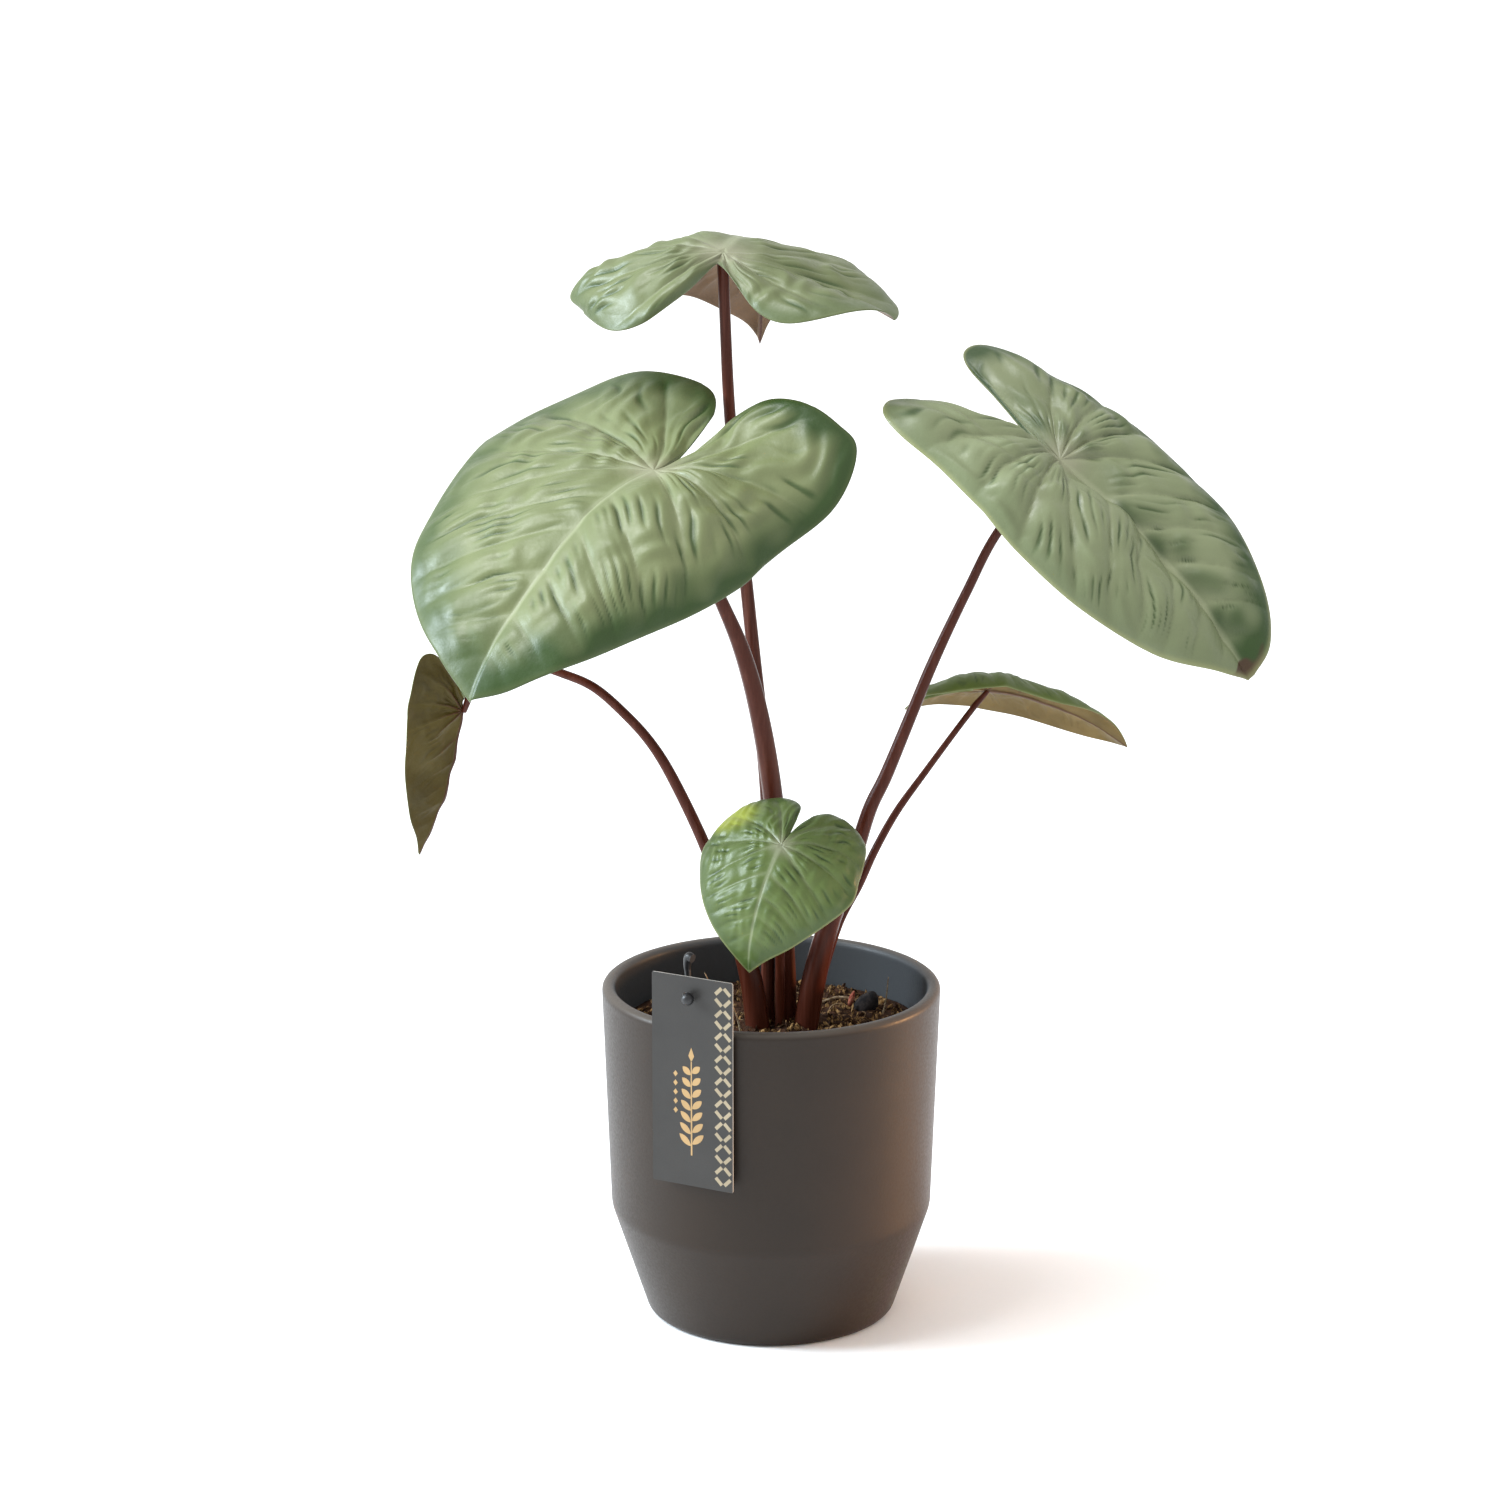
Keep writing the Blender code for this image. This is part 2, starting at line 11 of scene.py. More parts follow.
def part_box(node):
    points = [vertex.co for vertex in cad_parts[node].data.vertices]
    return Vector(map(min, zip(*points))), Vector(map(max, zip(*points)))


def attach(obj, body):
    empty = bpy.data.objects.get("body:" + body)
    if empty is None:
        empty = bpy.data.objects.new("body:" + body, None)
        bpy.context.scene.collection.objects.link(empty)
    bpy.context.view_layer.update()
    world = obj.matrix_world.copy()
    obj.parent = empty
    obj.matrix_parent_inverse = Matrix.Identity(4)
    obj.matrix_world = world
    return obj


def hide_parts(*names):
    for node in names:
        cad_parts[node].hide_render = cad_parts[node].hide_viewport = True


bl_info = {
    "name": "Potted alocasia",
    "version": (1, 0, 0),
    "blender": (4, 5, 0),
    "location": "View3D > Sidebar > Alocasia",
    "description": "Blades, stalks, soil, pot and label of a potted alocasia around its packed frame",
    "category": "Add Mesh",
}

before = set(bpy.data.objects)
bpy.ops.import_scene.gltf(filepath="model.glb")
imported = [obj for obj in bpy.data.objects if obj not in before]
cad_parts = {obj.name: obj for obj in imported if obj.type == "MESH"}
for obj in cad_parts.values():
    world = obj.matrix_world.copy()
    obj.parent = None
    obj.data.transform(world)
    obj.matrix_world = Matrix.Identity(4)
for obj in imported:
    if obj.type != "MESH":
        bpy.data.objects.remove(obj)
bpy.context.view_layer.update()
MM = 0.001

# ---------------------------------------------------------------- sizes as in the frame (mm)

POT_RIM_RADIUS = 70.0
POT_KINK_RADIUS = 66.7
POT_KINK_HEIGHT = 46.2
POT_FOOT_RADIUS = 51.3
POT_WALL = 5.6
POT_FLOOR = 8.0
INNER_KINK_LIFT = 2.0          # of the inside wall's kink above the outside one
INNER_FOOT_WIDENING = 3.0      # of the inside at the floor, past an even wall
LIP_ROUNDING = 2.4
KINK_ROUNDING = 14.0
FOOT_ROUNDING = 4.0
SOIL_DEPTH_BELOW_RIM = 20.0
SOIL_CROWN = 2.0

# The way each stalk runs, base first, as (x, y, z, radius)
STALKS = {
    1: [(6.6, 3.5, 114, 4.3), (6.1, 3, 145, 4.1), (3.8, 0, 185, 4.1), (0.6, -4, 222, 4.1),
        (-4.5, -9, 255, 3.9), (-11.3, -15, 283, 3.4), (-20, -21, 306, 2.7), (-32, -28, 333, 2.4)],
    2: [(-1.3, 5, 114, 3.0), (-1.3, 6, 144, 2.9), (-0.5, 8, 182, 2.8), (-1.6, 10, 218, 3.1),
        (-4, 11, 246, 3.0), (-7, 12, 275, 2.8), (-10.2, 13, 306, 2.7), (-14.3, 13, 345, 2.5),
        (-17.2, 12, 382, 2.4), (-18.6, 10.5, 414, 2.3)],
    3: [(13.2, -4, 114, 5.0), (16.8, -4, 139, 5.1), (22.8, -3, 164, 4.4), (32.3, -1, 189, 3.4),
        (39.9, 0, 214, 3.0), (46.8, 1, 229, 2.8), (56.8, 2, 254, 2.5), (65.9, 2, 277, 2.3),
        (78.5, 1, 305, 2.0), (91.7, -2, 332, 1.9)],
    4: [(15.8, 6.5, 114, 2.2), (19.5, 8, 135, 2.1), (27.7, 11, 162, 1.9), (36.4, 13, 179, 1.8),
        (43, 16, 193, 1.7), (52.1, 22, 208, 1.6), (64.1, 28, 223.5, 1.4), (76.4, 34, 239, 1.3)],
    5: [(-4.6, -4, 114, 5.2), (-8.8, -3, 145, 4.6), (-18.2, -1, 174, 3.2), (-27.6, 1, 200, 2.5),
        (-40.3, 3, 227, 2.3), (-49.6, 5, 242, 2.1), (-60.6, 7, 254, 2.0), (-72.5, 9, 264, 1.9),
        (-85.2, 12, 269, 1.8), (-98.8, 16, 272, 1.7), (-112, 22, 270, 1.6), (-122, 28, 261, 1.6)],
    6: [(3.4, -4.2, 114, 2.0), (3.6, -6, 148, 2.0), (3.9, -14, 176, 1.8), (4.6, -27, 198, 1.6)],
}
STALK_SAMPLES = 10             # curve points between two points of a stalk's route
BLADE_SOLID_THICKNESS = 1.0
GAP = 0.3                      # clearance between touching solids
NOTCH_SPREAD = 0.12            # least slope of a lobe's inner margin away from the middle line

# Blades. `stalk` is where the blade joins its petiole; `heading`, `dip` and `roll` turn it there.
# `right` and `left` are the flat blade's two margins from the tip back to the notch, as
# (distance from the midrib, distance ahead of the stalk). The bends and curls are degrees over
# `length` towards the tip, `lobe` behind the stalk and `half_width` out from the midrib.
BLADES = {
    1: dict(
        stalk=(-46.4, -35.6, 361.9), heading=230, dip=-10, roll=5, length=131, lobe=59,
        half_width=84, tip_bend=52, lobe_bend=-34, fold=6, curl_left=78, curl_right=17,
        lobe_curl=-14, tip_curl=19, tip_twist=6, lobe_twist=-8,
        right=[(0, 131), (19, 119), (50, 97), (72, 58), (84, 22), (91, -6), (87, -30), (70, -52),
               (38, -60), (15, -56), (3, -40), (0, -8)],
        left=[(0, 131), (17, 120), (40, 95), (59.5, 58), (67, 23), (65, -8), (67, -32), (61, -52),
              (49, -57), (31, -59), (12, -54), (2, -38), (0, -8)]),
    2: dict(
        stalk=(-19.6, 9.5, 440.9), heading=74, dip=12, roll=-14, length=138, lobe=43,
        half_width=73, tip_bend=73, lobe_bend=56, fold=0, curl_left=60, curl_right=12,
        lobe_curl=-24, tip_curl=49, tip_twist=27, lobe_twist=13,
        right=[(0, 138), (6, 122), (26, 95), (49, 62), (67, 29), (74, 5), (69, -10), (55, -23),
               (38, -30), (24, -28), (11, -18), (0, -7)],
        left=[(0, 138), (8, 125), (28, 99), (52, 62), (66, 26), (71, -4), (67, -28), (55, -46),
              (38, -52), (21, -45), (9, -27), (0, -7)]),
    3: dict(
        stalk=(115.0, -6.4, 360.9), heading=-29, dip=-31, roll=-10, length=115, lobe=66,
        half_width=55, tip_bend=25, lobe_bend=13, fold=19, curl_left=26, curl_right=49,
        lobe_curl=-14, tip_curl=18, tip_twist=-18, lobe_twist=-1,
        right=[(0, 117), (14, 108), (35, 88), (50.5, 55), (56, 21), (54, -7), (51, -28), (49, -49),
               (43, -61), (31, -64), (20, -55), (11, -36), (4, -17), (0, -6)],
        left=[(0, 117), (16, 109), (31.5, 88), (43, 54), (47, 20), (46.5, -8), (43, -31), (40, -51),
              (34, -63), (25, -65), (17, -57), (10, -39), (3, -18), (0, -6)]),
    4: dict(
        stalk=(89.9, 39.5, 255.8), heading=18, dip=-10, roll=44, length=66, lobe=43,
        half_width=21, tip_bend=38, lobe_bend=40, fold=30, curl_left=37, curl_right=101,
        lobe_curl=9, tip_curl=72, tip_twist=3, lobe_twist=-2,
        right=[(0, 66), (3, 62), (11, 49), (19, 30), (22, 12), (24, -5), (23, -18), (20, -31),
               (16, -39), (12, -40), (8, -35), (4, -22), (1.5, -10), (0, -6.5)],
        left=[(0, 66), (4, 61), (10, 49), (15, 31), (18, 12), (20, -4), (19, -15), (17, -25),
              (14, -32), (10, -33), (7, -29), (4, -20), (1.5, -10), (0, -6.5)]),
    5: dict(
        stalk=(-128.6, 33.9, 248.0), heading=146, dip=-81, roll=21, length=68, lobe=31,
        half_width=27, tip_bend=-20, lobe_bend=-26, fold=30, curl_left=-20, curl_right=23,
        lobe_curl=11, tip_curl=-14, tip_twist=-12, lobe_twist=-6,
        right=[(0, 68), (5, 62), (13, 50), (20, 30), (24, 13), (24, -3), (23, -13), (20, -22),
               (17, -29), (13, -30), (9, -26), (5, -17), (1.8, -8.5), (0, -5.5)],
        left=[(0, 68), (5, 60), (13, 49), (21, 30), (25, 13), (27, -3), (25, -14), (22, -23),
              (18, -29), (14, -30), (10, -27), (5, -17), (1.8, -8.5), (0, -5.5)]),
    6: dict(
        stalk=(3.9, -51.8, 213.6), heading=-127, dip=-42, roll=12, length=56, lobe=32,
        half_width=40, tip_bend=65, lobe_bend=44, fold=-3, curl_left=50, curl_right=33,
        lobe_curl=-3, tip_curl=-2, tip_twist=8, lobe_twist=4,
        right=[(0, 56), (8, 49), (20, 39), (32, 26), (39, 10), (39, -5), (36, -16), (29, -26),
               (17, -31), (6, -26), (2, -17), (0, -7)],
        left=[(0, 56), (7, 49), (18, 40), (29, 26), (36, 10), (35, -5), (32, -17), (26, -29),
              (15, -34), (6, -29), (2, -18), (0, -7)]),
}

CARD_WIDTH = 36.5
CARD_HEIGHT = 88.0
CARD_THICKNESS = 0.6
CARD_YAW = -27.6               # degrees about +Z from facing straight ahead
CARD_HOLE_CENTRE = (-33.6, -62.5, 154.0)
CARD_HOLE_RADIUS = 2.4
CARD_HOLE_BELOW_TOP = 9.0
CARD_HOLE_FROM_LEFT = 16.0
# The way the stake runs, base first, as (x, y, z, radius), its hook up to 1 mm off the frame's
STAKE_ROUTE = [(-33.4, -51.5, 98, 1.1), (-33.4, -51.6, 130, 1.1), (-33.5, -51.7, 158, 1.2),
               (-33.8, -52.0, 164, 1.5), (-33.2, -53.0, 168.0, 1.9), (-31.6, -54.4, 167.9, 1.8)]
KNOB_HEIGHT = 154.8
KNOB_RADIUS = 2.6
KNOB_STEM_RADIUS = 1.0
KNOB_FRONT = 68.0              # in front of the pot's axis
KNOB_BACK = 53.1               # in front of the pot's axis
KNOB_SINK = 0.6                # how far back its centre lies, in radii
KNOB_SHOULDER = 0.3            # between knob and stem

# ---------------------------------------------------------------- sizes of the fine work (mm)

# How each blade's surface is worked. `veins` side veins leave each half of the midrib, starting
# at `slope` and sweeping by `sweep`; `fan` degrees part the veins in the lobes. `valley` is how
# deep the midrib lies, `quilt` how far the surface swells between side veins, `crease` the depth
# and `creases` the number of the short folds between two of them, and `wave` and `waves` the
# height and number of the margin's undulations; depths and heights are in mm. `rings` and
# `around` are the grid's rings and the steps along each margin. `band_left` and `band_right` are
# the strength of the dark band inside each margin, `pale_edge` that of the pale line along it,
# and `shade_left` and `shade_right` that of the painted shade in the hollows beside the midrib.
BLADE_WORK = {
    1: dict(veins=6, slope=0.62, sweep=0.36, fan=31, valley=1.8, quilt=2.3, crease=1.0,
            creases=4, wave=1.3, waves=9, rings=96, around=240, band_left=1.0, band_right=0.8,
            pale_edge=0.1, shade_left=0.25, shade_right=0.3, seed=11,
            top="leaf_top", under="leaf_underside"),
    # Blade 2's upper side is a darker copy of the sage: painted shade for its flat top, which takes
    # more light
    2: dict(veins=6, slope=0.60, sweep=0.36, fan=31, valley=1.3, quilt=1.9, crease=0.95,
            creases=4, wave=2.0, waves=7, rings=88, around=220, band_left=0.5, band_right=0.4,
            pale_edge=0.1, shade_left=0.3, shade_right=0.3, seed=23,
            top="leaf_top_painted_shade", under="leaf_underside_rust"),
    3: dict(veins=6, slope=0.58, sweep=0.45, fan=27, valley=3.2, quilt=2.6, crease=0.9,
            creases=4, wave=1.0, waves=7, rings=90, around=220, band_left=1.0, band_right=0.25,
            pale_edge=0.6, shade_left=0.95, shade_right=0.35, seed=37,
            top="leaf_top_pale", under="leaf_underside"),
    4: dict(veins=6, slope=0.60, sweep=0.40, fan=30, valley=0.6, quilt=0.6, crease=0.3,
            creases=3, wave=0.5, waves=5, rings=50, around=140, band_left=0.3, band_right=0.3,
            pale_edge=0.4, shade_left=0.3, shade_right=0.3, seed=41,
            top="leaf_top_young", under="leaf_underside_tan"),
    5: dict(veins=7, slope=0.60, sweep=0.40, fan=30, valley=0.6, quilt=0.7, crease=0.35,
            creases=3, wave=0.5, waves=5, rings=50, around=140, band_left=0.4, band_right=0.4,
            pale_edge=0.4, shade_left=0.3, shade_right=0.3, seed=53,
            top="leaf_top", under="leaf_underside"),
    6: dict(veins=6, slope=0.55, sweep=0.35, fan=31, valley=0.9, quilt=1.1, crease=0.6,
            creases=3, wave=0.6, waves=5, rings=66, around=170, band_left=0.6, band_right=0.5,
            pale_edge=0.55, shade_left=0.55, shade_right=0.5, seed=67,
            top="leaf_top_young", under="leaf_underside"),
}
SHEET_THICKNESS = 0.5          # of a fine blade
FULL_LEAF_LENGTH = 131.0       # of the blade whose veins and folds have their full width
YELLOWING_LEAF = 6
DRY_TIPPED_LEAF = 3
TINGED_LEAF = 4
PALE_STALKS = (2, 6)
STALK_JOINT_DEPTH = 1.1        # of a stalk's end under its blade
STALK_JOINT_SHARE = 0.75       # of its radius there
LEAST_LEAN = 0.3               # least cosine used between a stalk's end and its blade's normal

SOIL_RINGS = 60
SOIL_STEPS = 192
SCATTER_RINGS = 26
SCATTER_STEPS = 96
SCATTER_HEART = 2.0            # radius left bare in the middle
SCATTER_MARGIN = 4.0           # left bare along the wall
CRUMB_SIZE = 0.00145           # m
FIBRE_SIZE = 0.00075           # m

# Dry strands, a shoot and a bark lump on the soil, as rows of (x, y, z, radius)
SOIL_ODDMENTS = [
    ("strand", [(-27, -42, 158, 0.15), (-24, -41, 152, 0.3), (-19, -40, 148, 0.3),
                (-14, -38, 138, 0.35), (-11, -36, 120, 0.3)]),
    ("strand", [(46, 14, 119, 0.35), (48, 16, 128, 0.3), (49, 16, 138, 0.15)]),
    ("strand", [(20, 24, 124, 0.5), (28, 27, 125.5, 0.6), (35, 27, 124.5, 0.5),
                (38, 25, 122, 0.4)]),
    ("strand", [(-16, -14, 120, 0.3), (-14, -20, 125, 0.35), (-9, -27, 124.5, 0.3),
                (-4, -30, 121, 0.3)]),
    ("strand", [(24, -14, 120, 0.3), (29, -19, 124.5, 0.35), (36, -20, 124, 0.35),
                (42, -14, 121, 0.3)]),
    ("shoot", [(33, 26, 122, 1.0), (34, 25, 126, 1.2), (35, 25, 129, 0.3)]),
    ("lump", [(37, 22, 119, 2.0), (38.5, 22, 122, 4.2), (41, 22, 125, 4.4), (43, 22, 128, 2.6),
              (44, 22, 129, 0.8)]),
]

DASH_COLUMNS = 2
DASH_ROWS = 18
DASH_EDGE_SHARE = 1.12         # of a column's pitch, from the lattice's middle to the card's edge
PRINT_HEIGHT = 0.00006         # m
PRINT_LIFT = 0.00002           # m, of the print's middle off the card
SPRIG_THICKNESS = 0.06
SPRIG_ACROSS = 1.8             # from the card's hole
SPRIG_FOOT = -66.0             # from the card's hole
SPRIG_STEM = ((-0.35, 0.0), (0.35, 0.0), (0.25, 40.0), (-0.25, 40.0))
SPRIG_BUD = ((0.0, 39.5), (1.3, 42.0), (0.0, 45.6), (-1.3, 42.0))
LEAFLET_PAIRS = 7
LEAFLET_STEPS = 16
LEAFLET_LOWEST = 4.0
LEAFLET_PITCH = 5.0
LEAFLET_STAGGER = 0.8          # of the right ones above the left ones
LEAFLET_LEAN = 48.0            # degrees from the stem
LEAFLET_LENGTH = 6.8
LEAFLET_SHORTENING = 0.35      # from one pair to the next
LEAFLET_HALF_WIDTH = 1.35
DIAMONDS = 5
DIAMOND_ACROSS = -7.2
DIAMOND_LOWEST = 18.3
DIAMOND_PITCH = 3.85
DIAMOND_HALF_WIDTH = 1.0
DIAMOND_HALF_HEIGHT = 1.3

# ---------------------------------------------------------------- stage (m and degrees)

FLOOR_REACH = 14.0             # from the middle to each side
KEY_LIGHT_FROM = (-0.42, -0.06, 0.90)
KEY_LIGHT_TINT = (0.97, 0.99, 1.0)
WINDOW_LIGHT = dict(place=(-1.6, -0.12, 0.95), aim=(0.0, 0.0, 0.25), size=0.9, spread=110.0,
                    tint=(0.78, 0.90, 1.0))
WARM_LIGHT = dict(place=(0.9, 0.10, 0.10), aim=(0.05, 0.0, 0.06), size=0.2, spread=16.0,
                  tint=(1.0, 0.52, 0.22))
CAMERA_PLACE = (-0.0063, -1.6, 0.6476)
CAMERA_TILT = 14.38            # below level
SENSOR_WIDTH = 36.0            # mm

# ---------------------------------------------------------------- tints and merging

# Painted highlight: a paler band along the top of the pot's lip
LIP_HIGHLIGHT_TINT = (0.105, 0.090, 0.076)
LIP_HIGHLIGHT_FROM = 0.1385         # m above the ground
LIP_HIGHLIGHT_TO = 0.1408           # m above the ground
HEART_TINT = (0.30, 0.27, 0.21)
YELLOW_TINT = (0.25, 0.28, 0.03)
DRY_TINT = (0.045, 0.024, 0.010)
TOP_EDGE_TINT = (0.22, 0.23, 0.10)
UNDER_EDGE_TINT = (0.20, 0.20, 0.09)
TAN_RIB_TINT = (0.10, 0.05, 0.03)
CUT_CARD_TINT = (0.34, 0.32, 0.29)
PLASTIC_TINT = (0.006, 0.006, 0.007)
# How much of the sage's red, green and blue each upper side has
# Blade 2's darker copy of the sage is painted shade, as its flat top takes more light
UPPER_SIDES = {"leaf_top": (1.0, 1.0, 1.0), "leaf_top_painted_shade": (0.78, 0.79, 0.76),
               "leaf_top_pale": (1.18, 1.17, 1.40), "leaf_top_young": (0.60, 0.74, 0.40)}
# Dark and light tint of each sort of dry or bare matter
FIBRE_TINTS = ((0.22, 0.12, 0.05), (0.50, 0.36, 0.20))
STRAND_TINTS = ((0.20, 0.13, 0.07), (0.42, 0.33, 0.22))
BARK_TINTS = ((0.010, 0.009, 0.010), (0.035, 0.028, 0.026))
SHOOT_TINTS = ((0.25, 0.045, 0.03), (0.45, 0.16, 0.10))
CORM_TINTS = ((0.05, 0.025, 0.012), (0.20, 0.11, 0.06))
TREE_MERGE_DISTANCE = 0.00001  # m
MERGE_DISTANCE = 0.000001      # m


# ---------------------------------------------------------------- settings a user would change

def colour_property(name, description, default):
    """A setting that holds a colour."""
    return FloatVectorProperty(name=name, description=description, subtype="COLOR", size=3,
                               min=0.0, max=1.0, default=default)


class AlocasiaPotSettings(PropertyGroup):
    colour: colour_property("Glaze", "Colour of the matte glaze", (0.015, 0.0085, 0.0045))
    # The inside wall's own grey, painted paler and cooler than the glaze to stand in for the cool
    # light on it
    inner_colour: colour_property("Inside", "Colour of the inside wall", (0.052, 0.056, 0.060))
    roughness: FloatProperty(name="Roughness", description="Roughness of the glaze",
                             default=0.42, min=0.0, max=1.0)
    steps: IntProperty(name="Steps", description="Steps round the pot", default=160, min=32)


class AlocasiaLeafSettings(PropertyGroup):
    colour: colour_property("Sage", "Colour of a grown leaf's upper side", (0.136, 0.158, 0.070))
    # Deep green: the margins' own colour, and also the painted shade in the folds
    deep_colour: colour_property("Deep green", "Colour of folds and margins",
                                 (0.019, 0.044, 0.007))
    vein_colour: colour_property("Veins", "Colour of the veins on top", (0.255, 0.275, 0.170))
    tan_colour: colour_property("Tan", "Colour of the tan underside", (0.215, 0.150, 0.055))
    olive_colour: colour_property("Olive", "Colour of the olive underside",
                                  (0.074, 0.055, 0.009))
    rust_colour: colour_property("Rust", "Colour of the brown underside", (0.160, 0.092, 0.045))
    roughness: FloatProperty(name="Roughness", description="Roughness of the upper side",
                             default=0.40, min=0.0, max=1.0)


class AlocasiaStalkSettings(PropertyGroup):
    colour: colour_property("Skin", "Colour of the stalks", (0.052, 0.011, 0.005))
    pale_colour: colour_property("Pale skin", "Colour of the stalks' paler streaks",
                                 (0.125, 0.042, 0.028))
    ridge: FloatProperty(name="Ridge depth", description="Depth of the lengthwise ridges",
                         default=0.00005, subtype="DISTANCE", unit="LENGTH")
    sides: IntProperty(name="Sides", description="Faces round a stalk", default=28, min=8)


class AlocasiaSoilSettings(PropertyGroup):
    colour: colour_property("Peat", "Colour of the damp peat", (0.030, 0.012, 0.005))
    chip_colour: colour_property("Coir", "Colour of the dry coir chips", (0.420, 0.250, 0.100))
    crumb_density: FloatProperty(name="Crumbs", description="Crumbs to a square metre",
                                 default=95000.0, min=0.0)
    fibre_density: FloatProperty(name="Fibres", description="Fibres to a square metre",
                                 default=9000.0, min=0.0)
    seed: IntProperty(name="Seed", description="Seed of the scatter", default=5)


class AlocasiaLabelSettings(PropertyGroup):
    colour: colour_property("Card", "Colour of the card", (0.0175, 0.0158, 0.0142))
    print_colour: colour_property("Print", "Colour of the printed sprig",
                                  (0.300, 0.190, 0.080))
    dash_colour: colour_property("Dashes", "Colour of the printed dashes", (0.245, 0.200, 0.130))
    dash_length: FloatProperty(name="Dash length", description="Length of a printed dash",
                               default=0.0039, subtype="DISTANCE", unit="LENGTH")
    dash_width: FloatProperty(name="Dash width", description="Width of a printed dash",
                              default=0.0015, subtype="DISTANCE", unit="LENGTH")
    dash_pitch: FloatProperty(name="Dash pitch", description="Height from one dash to the next",
                              default=0.0047, subtype="DISTANCE", unit="LENGTH")
    column_pitch: FloatProperty(name="Column pitch", description="From one column to the next",
                                default=0.0039, subtype="DISTANCE", unit="LENGTH")


class AlocasiaStudioSettings(PropertyGroup):
    floor_colour: colour_property("Floor", "Colour of the floor", (0.90, 0.90, 0.90))
    key_strength: FloatProperty(name="Key light", description="Strength of the soft main light",
                                default=2.85, min=0.0)
    key_spread: FloatProperty(name="Key spread", description="How wide the main light is",
                              default=math.radians(28.0), subtype="ANGLE", unit="ROTATION")
    window_power: FloatProperty(name="Window", description="Power of the cool light on the left",
                                default=20.0, subtype="POWER", unit="POWER")
    warm_power: FloatProperty(name="Warm light", description="Power of the warm light on the right",
                              default=0.27, subtype="POWER", unit="POWER")
    sky: FloatProperty(name="Sky", description="Strength of the even light all round",
                       default=1.0, min=0.0)
    lens: FloatProperty(name="Lens", description="Focal length of the camera in millimetres",
                        default=96.43, min=10.0)


# ---------------------------------------------------------------- curves and turned shapes

def smooth_route(points, samples):
    """A Catmull-Rom curve through points of any dimension, as an array of rows."""
    given = np.array(points, float)
    padded = np.vstack([2 * given[0] - given[1], given, 2 * given[-1] - given[-2]])
    rows = []
    for i in range(len(given) - 1):
        a, b, c, d = padded[i:i + 4]
        for t in np.linspace(0.0, 1.0, samples, endpoint=False):
            rows.append(0.5 * (2 * b + (c - a) * t + (2 * a - 5 * b + 4 * c - d) * t ** 2
                               + (3 * b - a - 3 * c + d) * t ** 3))
    rows.append(given[-1])
    return np.array(rows)


def evenly(points, count):
    """The same polyline with its points spaced evenly along it."""
    steps = np.linalg.norm(np.diff(points, axis=0), axis=1)
    along = np.concatenate([[0.0], np.cumsum(steps)])
    wanted = np.linspace(0.0, along[-1], count)
    return np.stack([np.interp(wanted, along, column) for column in points.T], axis=1)


def arc(centre, radius, start, end, steps):
    """Points of an arc in the (radius, height) plane, angles in degrees, both ends included."""
    angles = np.radians(np.linspace(start, end, steps + 1))
    return [(centre[0] + radius * math.cos(a), centre[1] + radius * math.sin(a)) for a in angles]


def rounded_corner(before, corner, after, radius, steps):
    """Points of a fillet of the given radius where two straight runs meet."""
    corner = Vector(corner)
    inward = (Vector(before) - corner).normalized()
    outward = (Vector(after) - corner).normalized()
    half = inward.angle(outward) / 2
    reach = radius / math.tan(half)
    centre = corner + (inward + outward).normalized() * radius / math.sin(half)
    start = corner + inward * reach - centre
    sweep = start.angle_signed(corner + outward * reach - centre)
    points = []
    for step in range(steps + 1):
        turned = start.copy()
        turned.rotate(Matrix.Rotation(-sweep * step / steps, 2))
        points.append(tuple(centre + turned))
    return points


def new_object(name, mesh, materials=()):
    """An object in the scene that holds the mesh, with its materials."""
    made = bpy.data.objects.new(name, mesh)
    bpy.context.scene.collection.objects.link(made)
    for material in materials:
        mesh.materials.append(material)
    return made


def polyline_object(name, points, radii=None):
    """A chain of edges, with a radius on each point where radii are given."""
    mesh = bpy.data.meshes.new(name)
    edges = [(i, i + 1) for i in range(len(points) - 1)]
    mesh.from_pydata([tuple(point) for point in points], edges, [])
    if radii is not None:
        mesh.attributes.new("radius", "FLOAT", "POINT").data.foreach_set("value", radii)
    return new_object(name, mesh)


def merged(mesh):
    """The mesh with its doubled points joined."""
    work = bmesh.new()
    work.from_mesh(mesh)
    bmesh.ops.remove_doubles(work, verts=work.verts, dist=MERGE_DISTANCE)
    bmesh.ops.recalc_face_normals(work, faces=work.faces)
    work.to_mesh(mesh)
    work.free()
    return mesh


def hand_over(piece, slot, *nodes):
    """Fixes a finished piece to the root body, in place of its frame nodes."""
    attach(piece, "root")
    if nodes:
        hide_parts(*nodes)


# ---------------------------------------------------------------- geometry node helpers

SOCKETS = {float: "NodeSocketFloat", int: "NodeSocketInt", bpy.types.Material: "NodeSocketMaterial"}


class NodeWork:
    """Adds nodes to a tree and joins them, for shapes and finishes alike."""

    def __init__(self, tree):
        self.nodes = tree.nodes
        self.links = tree.links

    def add(self, kind, settings=None, **sockets):
        """A new node, its inputs given by name or, as n0, n1 and so on, by number."""
        node = self.nodes.new(kind)
        for key, value in (settings or {}).items():
            setattr(node, key, value)
        for key, value in sockets.items():
            numbered = key[0] == "n" and key[1:].isdigit()
            self.plug(node, int(key[1:]) if numbered else key.replace("_", " "), value)
        return node

    def plug(self, node, key, value):
        """Joins a socket to an input, or gives the input a plain value."""
        if isinstance(value, bpy.types.NodeSocket):
            self.links.new(value, node.inputs[key])
        else:
            node.inputs[key].default_value = value

    def maths(self, operation, first, second=0.0):
        node = self.add("ShaderNodeMath", {"operation": operation}, n0=first, n1=second)
        return node.outputs[0]


